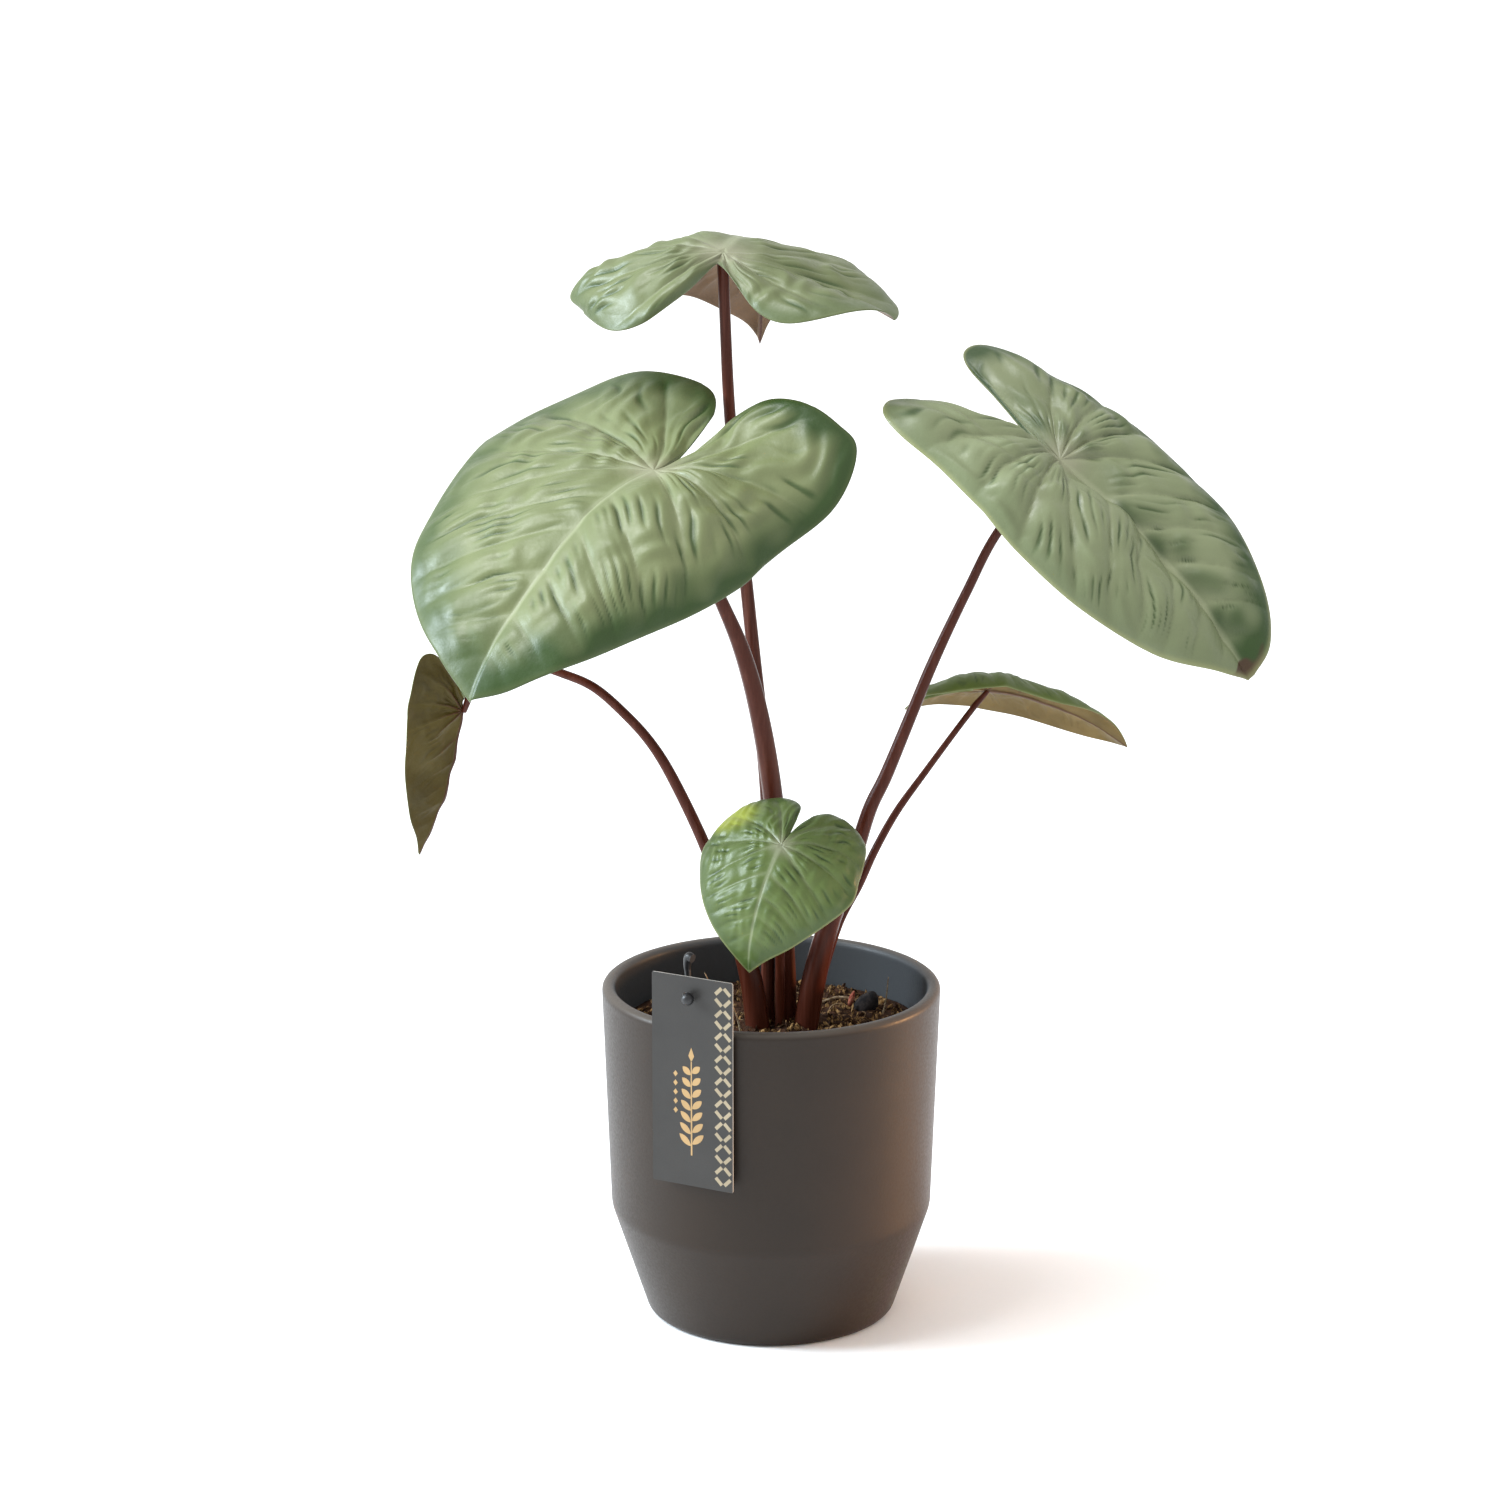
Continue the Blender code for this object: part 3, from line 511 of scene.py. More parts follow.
class Tree(NodeWork):
    """A geometry node tree under construction, with its named inputs."""

    def __init__(self, name, **inputs):
        self.group = bpy.data.node_groups.new(name, "GeometryNodeTree")
        super().__init__(self.group)
        interface = self.group.interface
        interface.new_socket(name="Geometry", in_out="OUTPUT", socket_type="NodeSocketGeometry")
        interface.new_socket(name="Geometry", in_out="INPUT", socket_type="NodeSocketGeometry")
        self.values = inputs
        for label, value in inputs.items():
            kind = SOCKETS[type(value)]
            interface.new_socket(name=label, in_out="INPUT", socket_type=kind)
        self.start = self.nodes.new("NodeGroupInput").outputs
        self.end = self.nodes.new("NodeGroupOutput").inputs

    def run(self, target, result_name):
        """Gives the tree's plain mesh in place of the target object."""
        modifier = target.modifiers.new("Build", "NODES")
        modifier.node_group = self.group
        for item in self.group.interface.items_tree:
            if item.in_out == "INPUT" and item.name in self.values:
                modifier[item.identifier] = self.values[item.name]
        evaluated = target.evaluated_get(bpy.context.evaluated_depsgraph_get())
        mesh = bpy.data.meshes.new_from_object(evaluated)
        if not mesh.polygons:
            raise RuntimeError("the node tree of " + result_name + " made no faces")
        mesh.name = result_name
        bpy.data.objects.remove(target)
        return new_object(result_name, mesh)


def turned_tree(name, steps, samples, material):
    """Turns a profile in the XZ plane about the Z axis into a closed skin."""
    tree = Tree(name, Steps=steps, Samples=samples, Material=material)
    curve = tree.add("GeometryNodeMeshToCurve", Mesh=tree.start["Geometry"])
    rows = tree.maths("ADD", tree.start["Steps"], 1.0)
    grid = tree.add("GeometryNodeMeshGrid", Size_X=1.0, Size_Y=1.0,
                    Vertices_X=tree.start["Samples"], Vertices_Y=rows)
    place = tree.add("GeometryNodeInputPosition").outputs[0]
    split = tree.add("ShaderNodeSeparateXYZ", Vector=place)
    factor = tree.maths("ADD", split.outputs["X"], 0.5)
    turn = tree.maths("MULTIPLY", tree.maths("ADD", split.outputs["Y"], 0.5), 2 * math.pi)
    sample = tree.add("GeometryNodeSampleCurve", {"mode": "FACTOR"},
                      Curves=curve.outputs["Curve"], Factor=factor)
    spun = tree.add("ShaderNodeVectorRotate", {"rotation_type": "Z_AXIS"},
                    Vector=sample.outputs["Position"], Angle=turn)
    placed = tree.add("GeometryNodeSetPosition", Geometry=grid.outputs["Mesh"],
                      Position=spun.outputs["Vector"])
    merged = tree.add("GeometryNodeMergeByDistance", Geometry=placed.outputs["Geometry"],
                      Distance=TREE_MERGE_DISTANCE)
    smooth = tree.add("GeometryNodeSetShadeSmooth", Geometry=merged.outputs["Geometry"])
    finish_tree(tree, smooth.outputs["Geometry"])
    return tree


def tube_tree(name, sides, ridge, ridges, material):
    """A round skin along a chain of edges, with lengthwise ridges and closed ends."""
    tree = Tree(name, Sides=sides, Ridge=ridge, Ridges=ridges, Material=material)
    curve = tree.add("GeometryNodeMeshToCurve", Mesh=tree.start["Geometry"])
    radius = tree.add("GeometryNodeInputNamedAttribute", {"data_type": "FLOAT"}, Name="radius")
    sized = tree.add("GeometryNodeSetCurveRadius", Curve=curve.outputs["Curve"],
                     Radius=radius.outputs["Attribute"])
    ring = tree.add("GeometryNodeCurvePrimitiveCircle", Resolution=tree.start["Sides"], Radius=1.0)
    spot = tree.add("GeometryNodeInputPosition").outputs[0]
    flat = tree.add("ShaderNodeSeparateXYZ", Vector=spot)
    angle = tree.maths("ARCTAN2", flat.outputs["Y"], flat.outputs["X"])
    kept = tree.add("GeometryNodeCaptureAttribute", {"domain": "POINT"},
                    Geometry=ring.outputs["Curve"])
    kept.capture_items.new("FLOAT", "Angle")
    tree.plug(kept, "Angle", angle)
    skin = tree.add("GeometryNodeCurveToMesh", Curve=sized.outputs["Curve"],
                    Profile_Curve=kept.outputs["Geometry"], Fill_Caps=True,
                    Scale=radius.outputs["Attribute"])
    wave = tree.maths("SINE", tree.maths("MULTIPLY", kept.outputs["Angle"],
                                         tree.start["Ridges"]))
    depth = tree.maths("MULTIPLY", wave, tree.start["Ridge"])
    normal = tree.add("GeometryNodeInputNormal").outputs[0]
    push = tree.add("ShaderNodeVectorMath", {"operation": "SCALE"}, Vector=normal, Scale=depth)
    ridged = tree.add("GeometryNodeSetPosition", Geometry=skin.outputs["Mesh"],
                      Offset=push.outputs["Vector"])
    merged = tree.add("GeometryNodeMergeByDistance", Geometry=ridged.outputs["Geometry"],
                      Distance=TREE_MERGE_DISTANCE)
    smooth = tree.add("GeometryNodeSetShadeSmooth", Geometry=merged.outputs["Geometry"])
    finish_tree(tree, smooth.outputs["Geometry"])
    return tree


def finish_tree(tree, geometry):
    """Ends a tree: instances made real, the material set, the result handed out."""
    real = tree.add("GeometryNodeRealizeInstances", Geometry=geometry)
    dressed = tree.add("GeometryNodeSetMaterial", Geometry=real.outputs["Geometry"],
                       Material=tree.start["Material"])
    tree.links.new(dressed.outputs["Geometry"], tree.end["Geometry"])


def tube_piece(name, tree_name, rows, sides, ridge, ridges, material):
    """A round ridged piece along rows of x, y, z, radius (mm)."""
    line = polyline_object("tube_line", rows[:, :3] * MM, rows[:, 3] * MM)
    piece = tube_tree(tree_name, sides, ridge, ridges, material).run(line, name)
    merged(piece.data)
    return piece


# ---------------------------------------------------------------- material helpers

class Finish(NodeWork):
    """A procedural material under construction round one Principled shader."""

    def __init__(self, name, roughness, specular=0.5):
        self.material = bpy.data.materials.new(name)
        self.material.use_nodes = True
        super().__init__(self.material.node_tree)
        self.shader = self.nodes["Principled BSDF"]
        self.set("Roughness", roughness)
        self.set("Specular IOR Level", specular)
        self.spot = self.add("ShaderNodeTexCoord").outputs["Object"]

    def set(self, key, value):
        """Joins a socket to one of the shader's inputs, or gives it a plain value."""
        self.plug(self.shader, key, value)

    def noise(self, scale, detail=4.0, stretch=None, roughness=0.55):
        """Noise in object space, its grain `scale` cells to a metre, or stretched along Z."""
        spot = self.spot
        if stretch is not None:
            spot = self.add("ShaderNodeMapping", Vector=spot, Scale=stretch).outputs[0]
        return self.add("ShaderNodeTexNoise", Vector=spot, Scale=scale, Detail=detail,
                        Roughness=roughness).outputs["Fac"]

    def spread(self, value, low, high, to_low=0.0, to_high=1.0):
        """Stretches a value so that low to high becomes to_low to to_high."""
        node = self.add("ShaderNodeMapRange", {"interpolation_type": "SMOOTHSTEP"}, Value=value)
        for key, number in (("From Min", low), ("From Max", high), ("To Min", to_low),
                            ("To Max", to_high)):
            node.inputs[key].default_value = number
        return node.outputs["Result"]

    def attribute(self, name):
        node = self.add("ShaderNodeAttribute")
        node.attribute_name = name
        return node.outputs["Fac"]

    def mix(self, factor, first, second):
        node = self.add("ShaderNodeMix", {"data_type": "RGBA"}, n0=factor)
        for index, value in ((6, first), (7, second)):
            solid = not isinstance(value, bpy.types.NodeSocket)
            self.plug(node, index, (*value, 1.0) if solid else value)
        return node.outputs[2]

    def bump(self, height, distance, strength=1.0, under=None):
        node = self.add("ShaderNodeBump", Height=height, Distance=distance, Strength=strength)
        if under is not None:
            self.plug(node, "Normal", under)
        return node.outputs["Normal"]


def ceramic_finish(settings):
    """Matte glaze: faint mottling and brushing, a painted highlight along the lip, and the inside's
    own grey painted paler and cooler as the cool light on it.
    """
    work = Finish("matte_glaze", settings.roughness, 0.26)
    mottle = work.noise(38.0, 5.0)
    glaze = work.mix(work.spread(mottle, 0.35, 0.7), tuple(settings.colour),
                     tuple(c * 1.12 for c in settings.colour))
    height = work.add("ShaderNodeSeparateXYZ", Vector=work.spot).outputs["Z"]
    # Painted highlight: the top of the lip is painted paler
    lip = work.spread(height, LIP_HIGHLIGHT_FROM, LIP_HIGHLIGHT_TO)
    glaze = work.mix(work.maths("MULTIPLY", lip, 0.6), glaze, LIP_HIGHLIGHT_TINT)
    # Inside wall: its own grey, painted paler and cooler as the cool light falling on it
    inside = work.attribute("inside")
    glaze = work.mix(inside, glaze, tuple(settings.inner_colour))
    work.set("Base Color", glaze)
    fine = work.noise(900.0, 3.0)
    work.set("Roughness", work.spread(fine, 0.2, 0.8, settings.roughness - 0.06,
                                      settings.roughness + 0.08))
    work.set("Normal", work.bump(fine, 0.00006, 0.5, work.bump(mottle, 0.0002, 0.25)))
    return work.material


def leaf_top_finish(name, settings, share):
    """Upper side of a blade: sage, paler along the veins, a deeper green at the margin, and painted
    shade in the folds.
    """
    work = Finish(name, settings.roughness, 0.34)
    base = [c * s for c, s in zip(settings.colour, share)]
    cloud = work.spread(work.noise(24.0, 4.0), 0.35, 0.70)
    deep = tuple(settings.deep_colour)
    skin = work.mix(work.maths("MULTIPLY", cloud, 0.30), tuple(base),
                    tuple(b * 0.6 + d * 0.4 for b, d in zip(base, deep)))
    skin = work.mix(work.maths("MULTIPLY", work.attribute("heart"), 0.5), skin,
                    HEART_TINT)
    vein = work.spread(work.attribute("vein"), 0.10, 0.95, 0.0, 0.55)
    skin = work.mix(vein, skin, tuple(settings.vein_colour))
    # Painted shade: darker in the creases and in the hollows beside the midrib
    skin = work.mix(work.spread(work.attribute("fold"), 0.1, 1.0, 0.0, 0.80), skin, deep)
    skin = work.mix(work.maths("MULTIPLY", work.attribute("rim"), 0.97), skin, deep)
    skin = work.mix(work.spread(work.attribute("yellow"), 0.2, 0.9, 0.0, 0.85), skin,
                    YELLOW_TINT)
    skin = work.mix(work.spread(work.attribute("dry"), 0.35, 0.65), skin, DRY_TINT)
    skin = work.mix(work.attribute("edge"), skin, TOP_EDGE_TINT)
    work.set("Base Color", skin)
    grain = work.noise(1500.0, 3.0)
    net = work.noise(300.0, 5.0, roughness=0.6)
    work.set("Roughness", work.spread(net, 0.25, 0.8, settings.roughness - 0.06,
                                      settings.roughness + 0.10))
    work.set("Normal", work.bump(grain, 0.00003, 0.5, work.bump(net, 0.0003, 0.5)))
    return work.material


def leaf_under_finish(name, colour, rib_colour):
    """Underside of a blade: duller, with ribs of the stalk's tint and painted shade in the folds."""
    work = Finish(name, 0.5, 0.25)
    cloud = work.spread(work.noise(45.0, 5.0), 0.3, 0.75)
    skin = work.mix(cloud, tuple(colour), tuple(c * 0.62 for c in colour))
    # Painted shade: darker in the creases and in the hollows beside the midrib
    skin = work.mix(work.spread(work.attribute("fold"), 0.0, 1.0, 0.0, 0.4), skin,
                    tuple(c * 0.45 for c in colour))
    rib = work.spread(work.attribute("rib"), 0.2, 0.8, 0.0, 0.85)
    skin = work.mix(rib, skin, tuple(rib_colour))
    edge = work.spread(work.attribute("edge"), 0.55, 0.9, 0.0, 0.6)
    skin = work.mix(edge, skin, UNDER_EDGE_TINT)
    work.set("Base Color", skin)
    grain = work.noise(1200.0, 3.0)
    net = work.noise(320.0, 5.0)
    work.set("Normal", work.bump(grain, 0.00005, 0.5, work.bump(net, 0.0003, 0.5)))
    return work.material


def stalk_finish(name, settings, pale_share):
    """Glossy stalk skin: dark red-brown with faint long streaks and fine flecks."""
    work = Finish(name, 0.42, 0.14)
    streak = work.spread(work.noise(1.0, 3.0, (420.0, 420.0, 14.0)), 0.40, 0.75)
    fleck = work.spread(work.noise(1.0, 3.0, (2400.0, 2400.0, 500.0)), 0.5, 0.8)
    skin = work.mix(work.maths("MULTIPLY", streak, pale_share), tuple(settings.colour),
                    tuple(settings.pale_colour))
    skin = work.mix(work.maths("MULTIPLY", fleck, 0.25), skin,
                    tuple(c * 0.4 for c in settings.colour))
    work.set("Base Color", skin)
    work.set("Roughness", work.spread(fleck, 0.0, 1.0, 0.32, 0.42))
    work.set("Normal", work.bump(fleck, 0.00003, 0.4))
    return work.material


def soil_finish(name, dark, light, low=0.35, high=0.65):
    """Peat and coir: each crumb its own tint between damp dark and dry tan."""
    work = Finish(name, 0.92, 0.2)
    lump = work.spread(work.noise(420.0, 3.0), low, high)
    grit = work.spread(work.noise(2200.0, 2.0), 0.35, 0.7)
    tint = work.mix(lump, tuple(dark), tuple(light))
    tint = work.mix(work.maths("MULTIPLY", grit, 0.35), tint, tuple(c * 0.5 for c in dark))
    work.set("Base Color", tint)
    work.set("Normal", work.bump(grit, 0.0003, 0.7))
    return work.material


def plastic_finish(name, colour, roughness):
    """Moulded plastic with a fine grain."""
    work = Finish(name, roughness)
    grain = work.noise(700.0, 3.0)
    work.set("Base Color", work.mix(work.spread(grain, 0.3, 0.7), tuple(colour),
                                    tuple(c * 1.4 for c in colour)))
    work.set("Normal", work.bump(grain, 0.00004, 0.4))
    return work.material


def card_finish(name, colour, roughness):
    """Printed card: a faint paper tooth."""
    work = Finish(name, roughness, 0.4)
    tooth = work.noise(1600.0, 4.0)
    broad = work.noise(60.0, 2.0)
    work.set("Base Color", work.mix(work.spread(broad, 0.3, 0.7), tuple(colour),
                                    tuple(c * 1.2 for c in colour)))
    work.set("Roughness", work.spread(tooth, 0.2, 0.8, roughness - 0.05, roughness + 0.1))
    work.set("Normal", work.bump(tooth, 0.00003, 0.5))
    return work.material


# ---------------------------------------------------------------- blades

def blade_margins(blade, samples):
    """The flat blade's right and left margins from tip to notch, as rows of (across, ahead)."""
    margins = []
    for side, points in ((1.0, blade["right"]), (-1.0, blade["left"])):
        margin = smooth_route(points, samples)
        margin[:, 0] = np.maximum(margin[:, 0], NOTCH_SPREAD * (margin[-1, 1] - margin[:, 1]))
        margin[:, 0] *= side
        margins.append(margin)
    return margins


def bent(distance, bend, span):
    """Forward distance, rise and slope after a run along an arc that bends down by `bend`."""
    curvature = math.radians(bend) / span
    if abs(curvature) < 1e-6:
        return distance, 0.0 * distance, 0.0 * distance
    slope = curvature * distance
    return np.sin(slope) / curvature, (np.cos(slope) - 1.0) / curvature, -slope


def on_blade(blade, across, along):
    """Where flat blade coordinates (mm) come to lie in the model, as rows of x, y, z (mm)."""
    length, lobe, half_width = blade["length"], blade["lobe"], blade["half_width"]
    ahead, rise, slope = bent(np.maximum(along, 0.0), blade["tip_bend"], length)
    behind, back_rise, back_slope = bent(np.maximum(-along, 0.0), blade["lobe_bend"], lobe)
    forward = np.where(along > 0.0, ahead, -behind)
    up = np.where(along > 0.0, rise, back_rise)
    slope = np.where(along > 0.0, slope, -back_slope)
    tip_share = np.clip(along / length, 0.0, 1.0)
    lobe_share = np.clip(-along / lobe, 0.0, 1.0)
    curl = np.where(across < 0.0, blade["curl_left"], blade["curl_right"])
    curl = curl + lobe_share * blade["lobe_curl"] + tip_share * blade["tip_curl"]
    rate = np.radians(curl) / half_width
    rate = np.where(np.abs(rate) < 1e-5, 1e-5, rate)
    fold = math.radians(blade["fold"])
    side = np.sign(across)
    reach = np.abs(across)
    sideways = side * (math.sin(fold) - np.sin(fold - rate * reach)) / rate
    lift = (np.cos(fold - rate * reach) - math.cos(fold)) / rate
    twist = np.radians(blade["tip_twist"] * tip_share + blade["lobe_twist"] * lobe_share)
    lateral = sideways * np.cos(twist) - lift * np.sin(twist)
    normal = sideways * np.sin(twist) + lift * np.cos(twist)
    forward = forward - normal * np.sin(slope)
    up = up + normal * np.cos(slope)
    heading, dip, roll = (math.radians(blade[key]) for key in ("heading", "dip", "roll"))
    front = np.array([math.cos(heading) * math.cos(dip), math.sin(heading) * math.cos(dip),
                      math.sin(dip)])
    level = np.array([math.sin(heading), -math.cos(heading), 0.0])
    above = np.cross(level, front)
    right = level * math.cos(roll) + above * math.sin(roll)
    top = above * math.cos(roll) - level * math.sin(roll)
    stalk = np.array(blade["stalk"])
    return (stalk + forward[..., None] * front + lateral[..., None] * right
            + up[..., None] * top)


def sway(across, along, span, seed, waves=7):
    """Smooth wandering between about -1 and 1 over the flat blade, `span` mm from hill to hill."""
    draw = np.random.default_rng(seed)
    total = np.zeros_like(across)
    for _ in range(waves):
        direction = draw.uniform(0.0, 2 * math.pi)
        pace = 2 * math.pi / (span * draw.uniform(0.7, 1.5))
        phase = draw.uniform(0.0, 2 * math.pi)
        total += np.sin(pace * (across * math.cos(direction) + along * math.sin(direction)) + phase)
    return total / math.sqrt(waves)


def vein_pattern(blade, work, across, along, share):
    """The side veins, the midrib, the creases and the swelling between veins, each 0 to 1."""
    reach = np.abs(across)
    half_width, length = blade["half_width"], blade["length"]
    size = length / FULL_LEAF_LENGTH
    spread = work["slope"] * reach + work["sweep"] * reach ** 2 / half_width
    start = along - spread
    bowed = start + sway(across, along, half_width * 0.8, work["seed"]) * half_width * 0.018
    ahead = work["veins"] * np.sign(bowed) * (np.abs(bowed) / length) ** 1.12
    turn = np.degrees(np.arctan2(spread, reach) - np.arctan2(along, reach))
    number = np.where(start > 0.0, ahead, -turn / work["fan"])
    radius = np.hypot(across, along)
    spacing = np.where(start > 0.0, 0.8 * length / work["veins"],
                       math.radians(work["fan"]) * radius)
    offset = np.abs(number - np.round(number))
    side_vein = np.exp(-(offset * spacing / (size * (2.0 - 1.4 * share) + 0.3)) ** 2)
    midrib_width = size * (2.2 - 1.8 * np.clip(along / length, 0.0, 1.0)) + 0.3
    midrib = np.exp(-(reach / midrib_width) ** 2) * (1.0 - np.clip(-along / 6.0, 0.0, 1.0))
    wander = 0.30 * sway(across, along, half_width * 0.45, work["seed"] + 1)
    finer = number * work["creases"] + wander
    crease = np.exp(-((finer - np.round(finer)) / 0.19) ** 2)
    phase = np.modf(np.abs(np.sin(np.round(finer) * 12.9898 + work["seed"]) * 437.58))[0]
    strokes = np.clip(0.62 + 0.55 * np.cos(2 * math.pi * (reach / (32.0 * size) + phase)), 0, 1)
    strokes = strokes * np.clip(0.7 + 0.6 * sway(across, along, half_width * 0.4,
                                                 work["seed"] + 2), 0.0, 1.0)
    zone = np.clip((share - 0.14) / 0.2, 0.0, 1.0) * np.clip((1.0 - share) / 0.14, 0.0, 1.0)
    crease = crease * strokes * zone * np.clip(reach / (5.0 * size) - 0.4, 0.0, 1.0)
    cells = 0.5 + 0.5 * np.cos(2 * math.pi * (reach / (13.0 * size) + 0.4 * number + wander))
    swell = np.sin(math.pi * offset) ** 0.75 * (0.62 + 0.38 * cells)
    swell = swell * np.clip(share * 4.0, 0.0, 1.0) * np.where(start < 0.0, 1.35, 1.0)
    return side_vein, midrib, crease, swell


def blade_surface(number):
    """Top and underside points of a fine blade (mm), with what its materials need."""
    blade, work = BLADES[number], BLADE_WORK[number]
    right, left = (evenly(margin, work["around"]) for margin in blade_margins(blade, 12))
    loop = np.vstack([right, left[-2:0:-1]])
    share = (np.linspace(0.0, 1.0, work["rings"] + 1)[1:, None]) ** 0.9
    across = share * loop[None, :, 0]
    along = share * loop[None, :, 1]
    across = np.where(np.abs(across) < 1e-6, 1e-6, across)
    share = np.broadcast_to(share, across.shape)
    size = blade["length"] / FULL_LEAF_LENGTH
    side_vein, midrib, crease, swell = vein_pattern(blade, work, across, along, share)
    fade = 1.0 - share ** 8
    beside = 1.0 - np.exp(-np.abs(across) / (7.0 * size))
    relief = work["quilt"] * swell * fade * (0.35 + 0.65 * beside)
    relief -= work["crease"] * crease * fade
    relief += work["valley"] * beside * np.clip(share * 3.0, 0.0, 1.0) * fade
    relief += 0.25 * size * midrib * fade
    relief -= relief.mean() * np.clip(share * 2.0, 0.0, 1.0)
    relief += 1.1 * size * sway(across, along, blade["half_width"] * 0.9, work["seed"] + 3) * fade
    around = np.linspace(0.0, 2 * math.pi * work["waves"], across.shape[1], endpoint=False)
    flutter = np.sin(around + 1.3 * np.sin(around * 0.37 + work["seed"]))
    relief += work["wave"] * share ** 5 * flutter[None, :]
    rib = np.maximum(midrib ** 3, 0.75 * side_vein ** 3 * np.clip((1.05 - share), 0.0, 1.0))
    rib_height = size * 1.5 * (1.0 - 0.75 * share) * rib
    middle = on_blade(blade, across, along)
    step = 0.05
    here_side = on_blade(blade, across + step * np.sign(across), along) - middle
    here_side *= np.sign(across)[..., None]
    here_ahead = on_blade(blade, across, along + step) - middle
    normal = np.cross(here_side, here_ahead)
    normal /= np.linalg.norm(normal, axis=-1, keepdims=True)
    centre = np.array(blade["stalk"], float)
    centre_normal = normal[0].mean(axis=0)
    centre_normal /= np.linalg.norm(centre_normal)
    half = SHEET_THICKNESS / 2
    top = middle + (relief + half)[..., None] * normal
    under = middle + (relief - half - rib_height)[..., None] * normal
    rim = middle[-1] + relief[-1][:, None] * normal[-1]
    outwards = rim - (middle[-2] + relief[-2][:, None] * normal[-2])
    rim = rim + 0.2 * outwards / np.linalg.norm(outwards, axis=-1, keepdims=True)
    peak = centre + centre_normal * half
    foot = centre - centre_normal * (half + size * 1.5)
    points = np.vstack([peak, top.reshape(-1, 3), foot, under.reshape(-1, 3), rim])
    band = np.where(across < 0.0, work["band_left"], work["band_right"])
    uneven = share + 0.030 * sway(across, along, 16.0 * size, work["seed"] + 4)
    band = band * np.clip((uneven - 0.74) / 0.20, 0.0, 1.0)
    edge = np.clip((share - 0.975) / 0.02, 0.0, 1.0) * work["pale_edge"]
    # Painted shade in the hollows beside the midrib; with the creases it makes the fold field, which
    # the materials paint darker as shade
    shade = np.exp(-(np.abs(across) / (17.0 * size)) ** 2) * np.clip(share * 5.0 - 0.4, 0.0, 1.0)
    shade = shade * np.where(across < 0.0, work["shade_left"], work["shade_right"]) * swell
    fields = {"vein": np.maximum(0.6 * side_vein * (1.0 - 0.6 * share), 0.9 * midrib),
              "rib": np.maximum(rib, 0.0), "fold": np.maximum(crease, shade), "rim": band,
              "edge": edge,
              "heart": np.exp(-(np.hypot(across, along) / (10.0 * size)) ** 2)}
    fields["yellow"], fields["dry"] = blade_marks(number, blade, across, along, share)
    flat = np.stack([across, along], axis=-1).reshape(-1, 2)
    whole = {}
    for key, field in fields.items():
        column = np.concatenate([[field[0].mean()], field.ravel()])
        whole[key] = np.concatenate([column, column, field[-1]])
    flat = np.vstack([[0.0, 0.0], flat])
    flat = np.vstack([flat, flat, loop])
    return points, whole, flat, len(loop), work["rings"]


def blade_marks(number, blade, across, along, share):
    """Where a leaf is yellow, in a spot or outwards, and where an old tip has dried."""
    nothing = np.zeros_like(across)
    if number == YELLOWING_LEAF:
        spot = np.hypot((across - 0.80 * blade["half_width"]) / 13.0, (along + 13.0) / 12.0)
        return np.exp(-spot ** 2) * 1.1, nothing
    if number == DRY_TIPPED_LEAF:
        ragged = along + 2.2 * sway(across, along, 9.0, 9)
        return nothing, np.clip((ragged - 0.94 * blade["length"]) / 7.0, 0.0, 1.0)
    if number == TINGED_LEAF:
        return 0.35 * share, nothing
    return nothing, nothing


def blade_mesh(name, number, top_material, under_material):
    points, fields, flat, around, rings = blade_surface(number)
    sheet = 1 + around * rings
    rim = 2 * sheet
    here = np.arange(around)
    after = (here + 1) % around
    faces = []
    for start, flip in ((0, False), (sheet, True)):
        first = start + 1
        fan = [(start, first + b, first + a) for a, b in zip(here, after)]
        quads = []
        for ring in range(rings - 1):
            inner = first + ring * around
            outer = inner + around
            quads += [(inner + a, inner + b, outer + b, outer + a) for a, b in zip(here, after)]
        made = fan + quads
        faces += [face[::-1] for face in made] if flip else made
    top_edge = 1 + (rings - 1) * around
    under_edge = sheet + top_edge
    faces += [(top_edge + a, top_edge + b, rim + b, rim + a) for a, b in zip(here, after)]
    faces += [(rim + a, rim + b, under_edge + b, under_edge + a) for a, b in zip(here, after)]
    mesh = bpy.data.meshes.new(name)
    mesh.from_pydata((points * MM).tolist(), [], faces)
    one_sheet = around * rings
    slots = np.zeros(len(faces), int)
    slots[one_sheet:2 * one_sheet] = 1
    mesh.materials.append(top_material)
    mesh.materials.append(under_material)
    mesh.polygons.foreach_set("material_index", slots)
    for key, values in fields.items():
        mesh.attributes.new(key, "FLOAT", "POINT").data.foreach_set("value", values)
    corner_points = np.empty(len(mesh.loops), int)
    mesh.loops.foreach_get("vertex_index", corner_points)
    chart = mesh.uv_layers.new(name="UVMap")
    chart.data.foreach_set("uv", (flat[corner_points] / 300.0 + 0.5).ravel())
    mesh.shade_smooth()
    mesh.validate()
    return mesh


def blade_top_direction(blade):
    """The upward normal of a blade at its stalk."""
    step = np.array([0.0, 0.5, 0.0])
    here, forwards, rightwards = on_blade(blade, np.array([1e-6, 1e-6, 0.5]), step)
    normal = np.cross(rightwards - here, forwards - here)
    return normal / np.linalg.norm(normal)


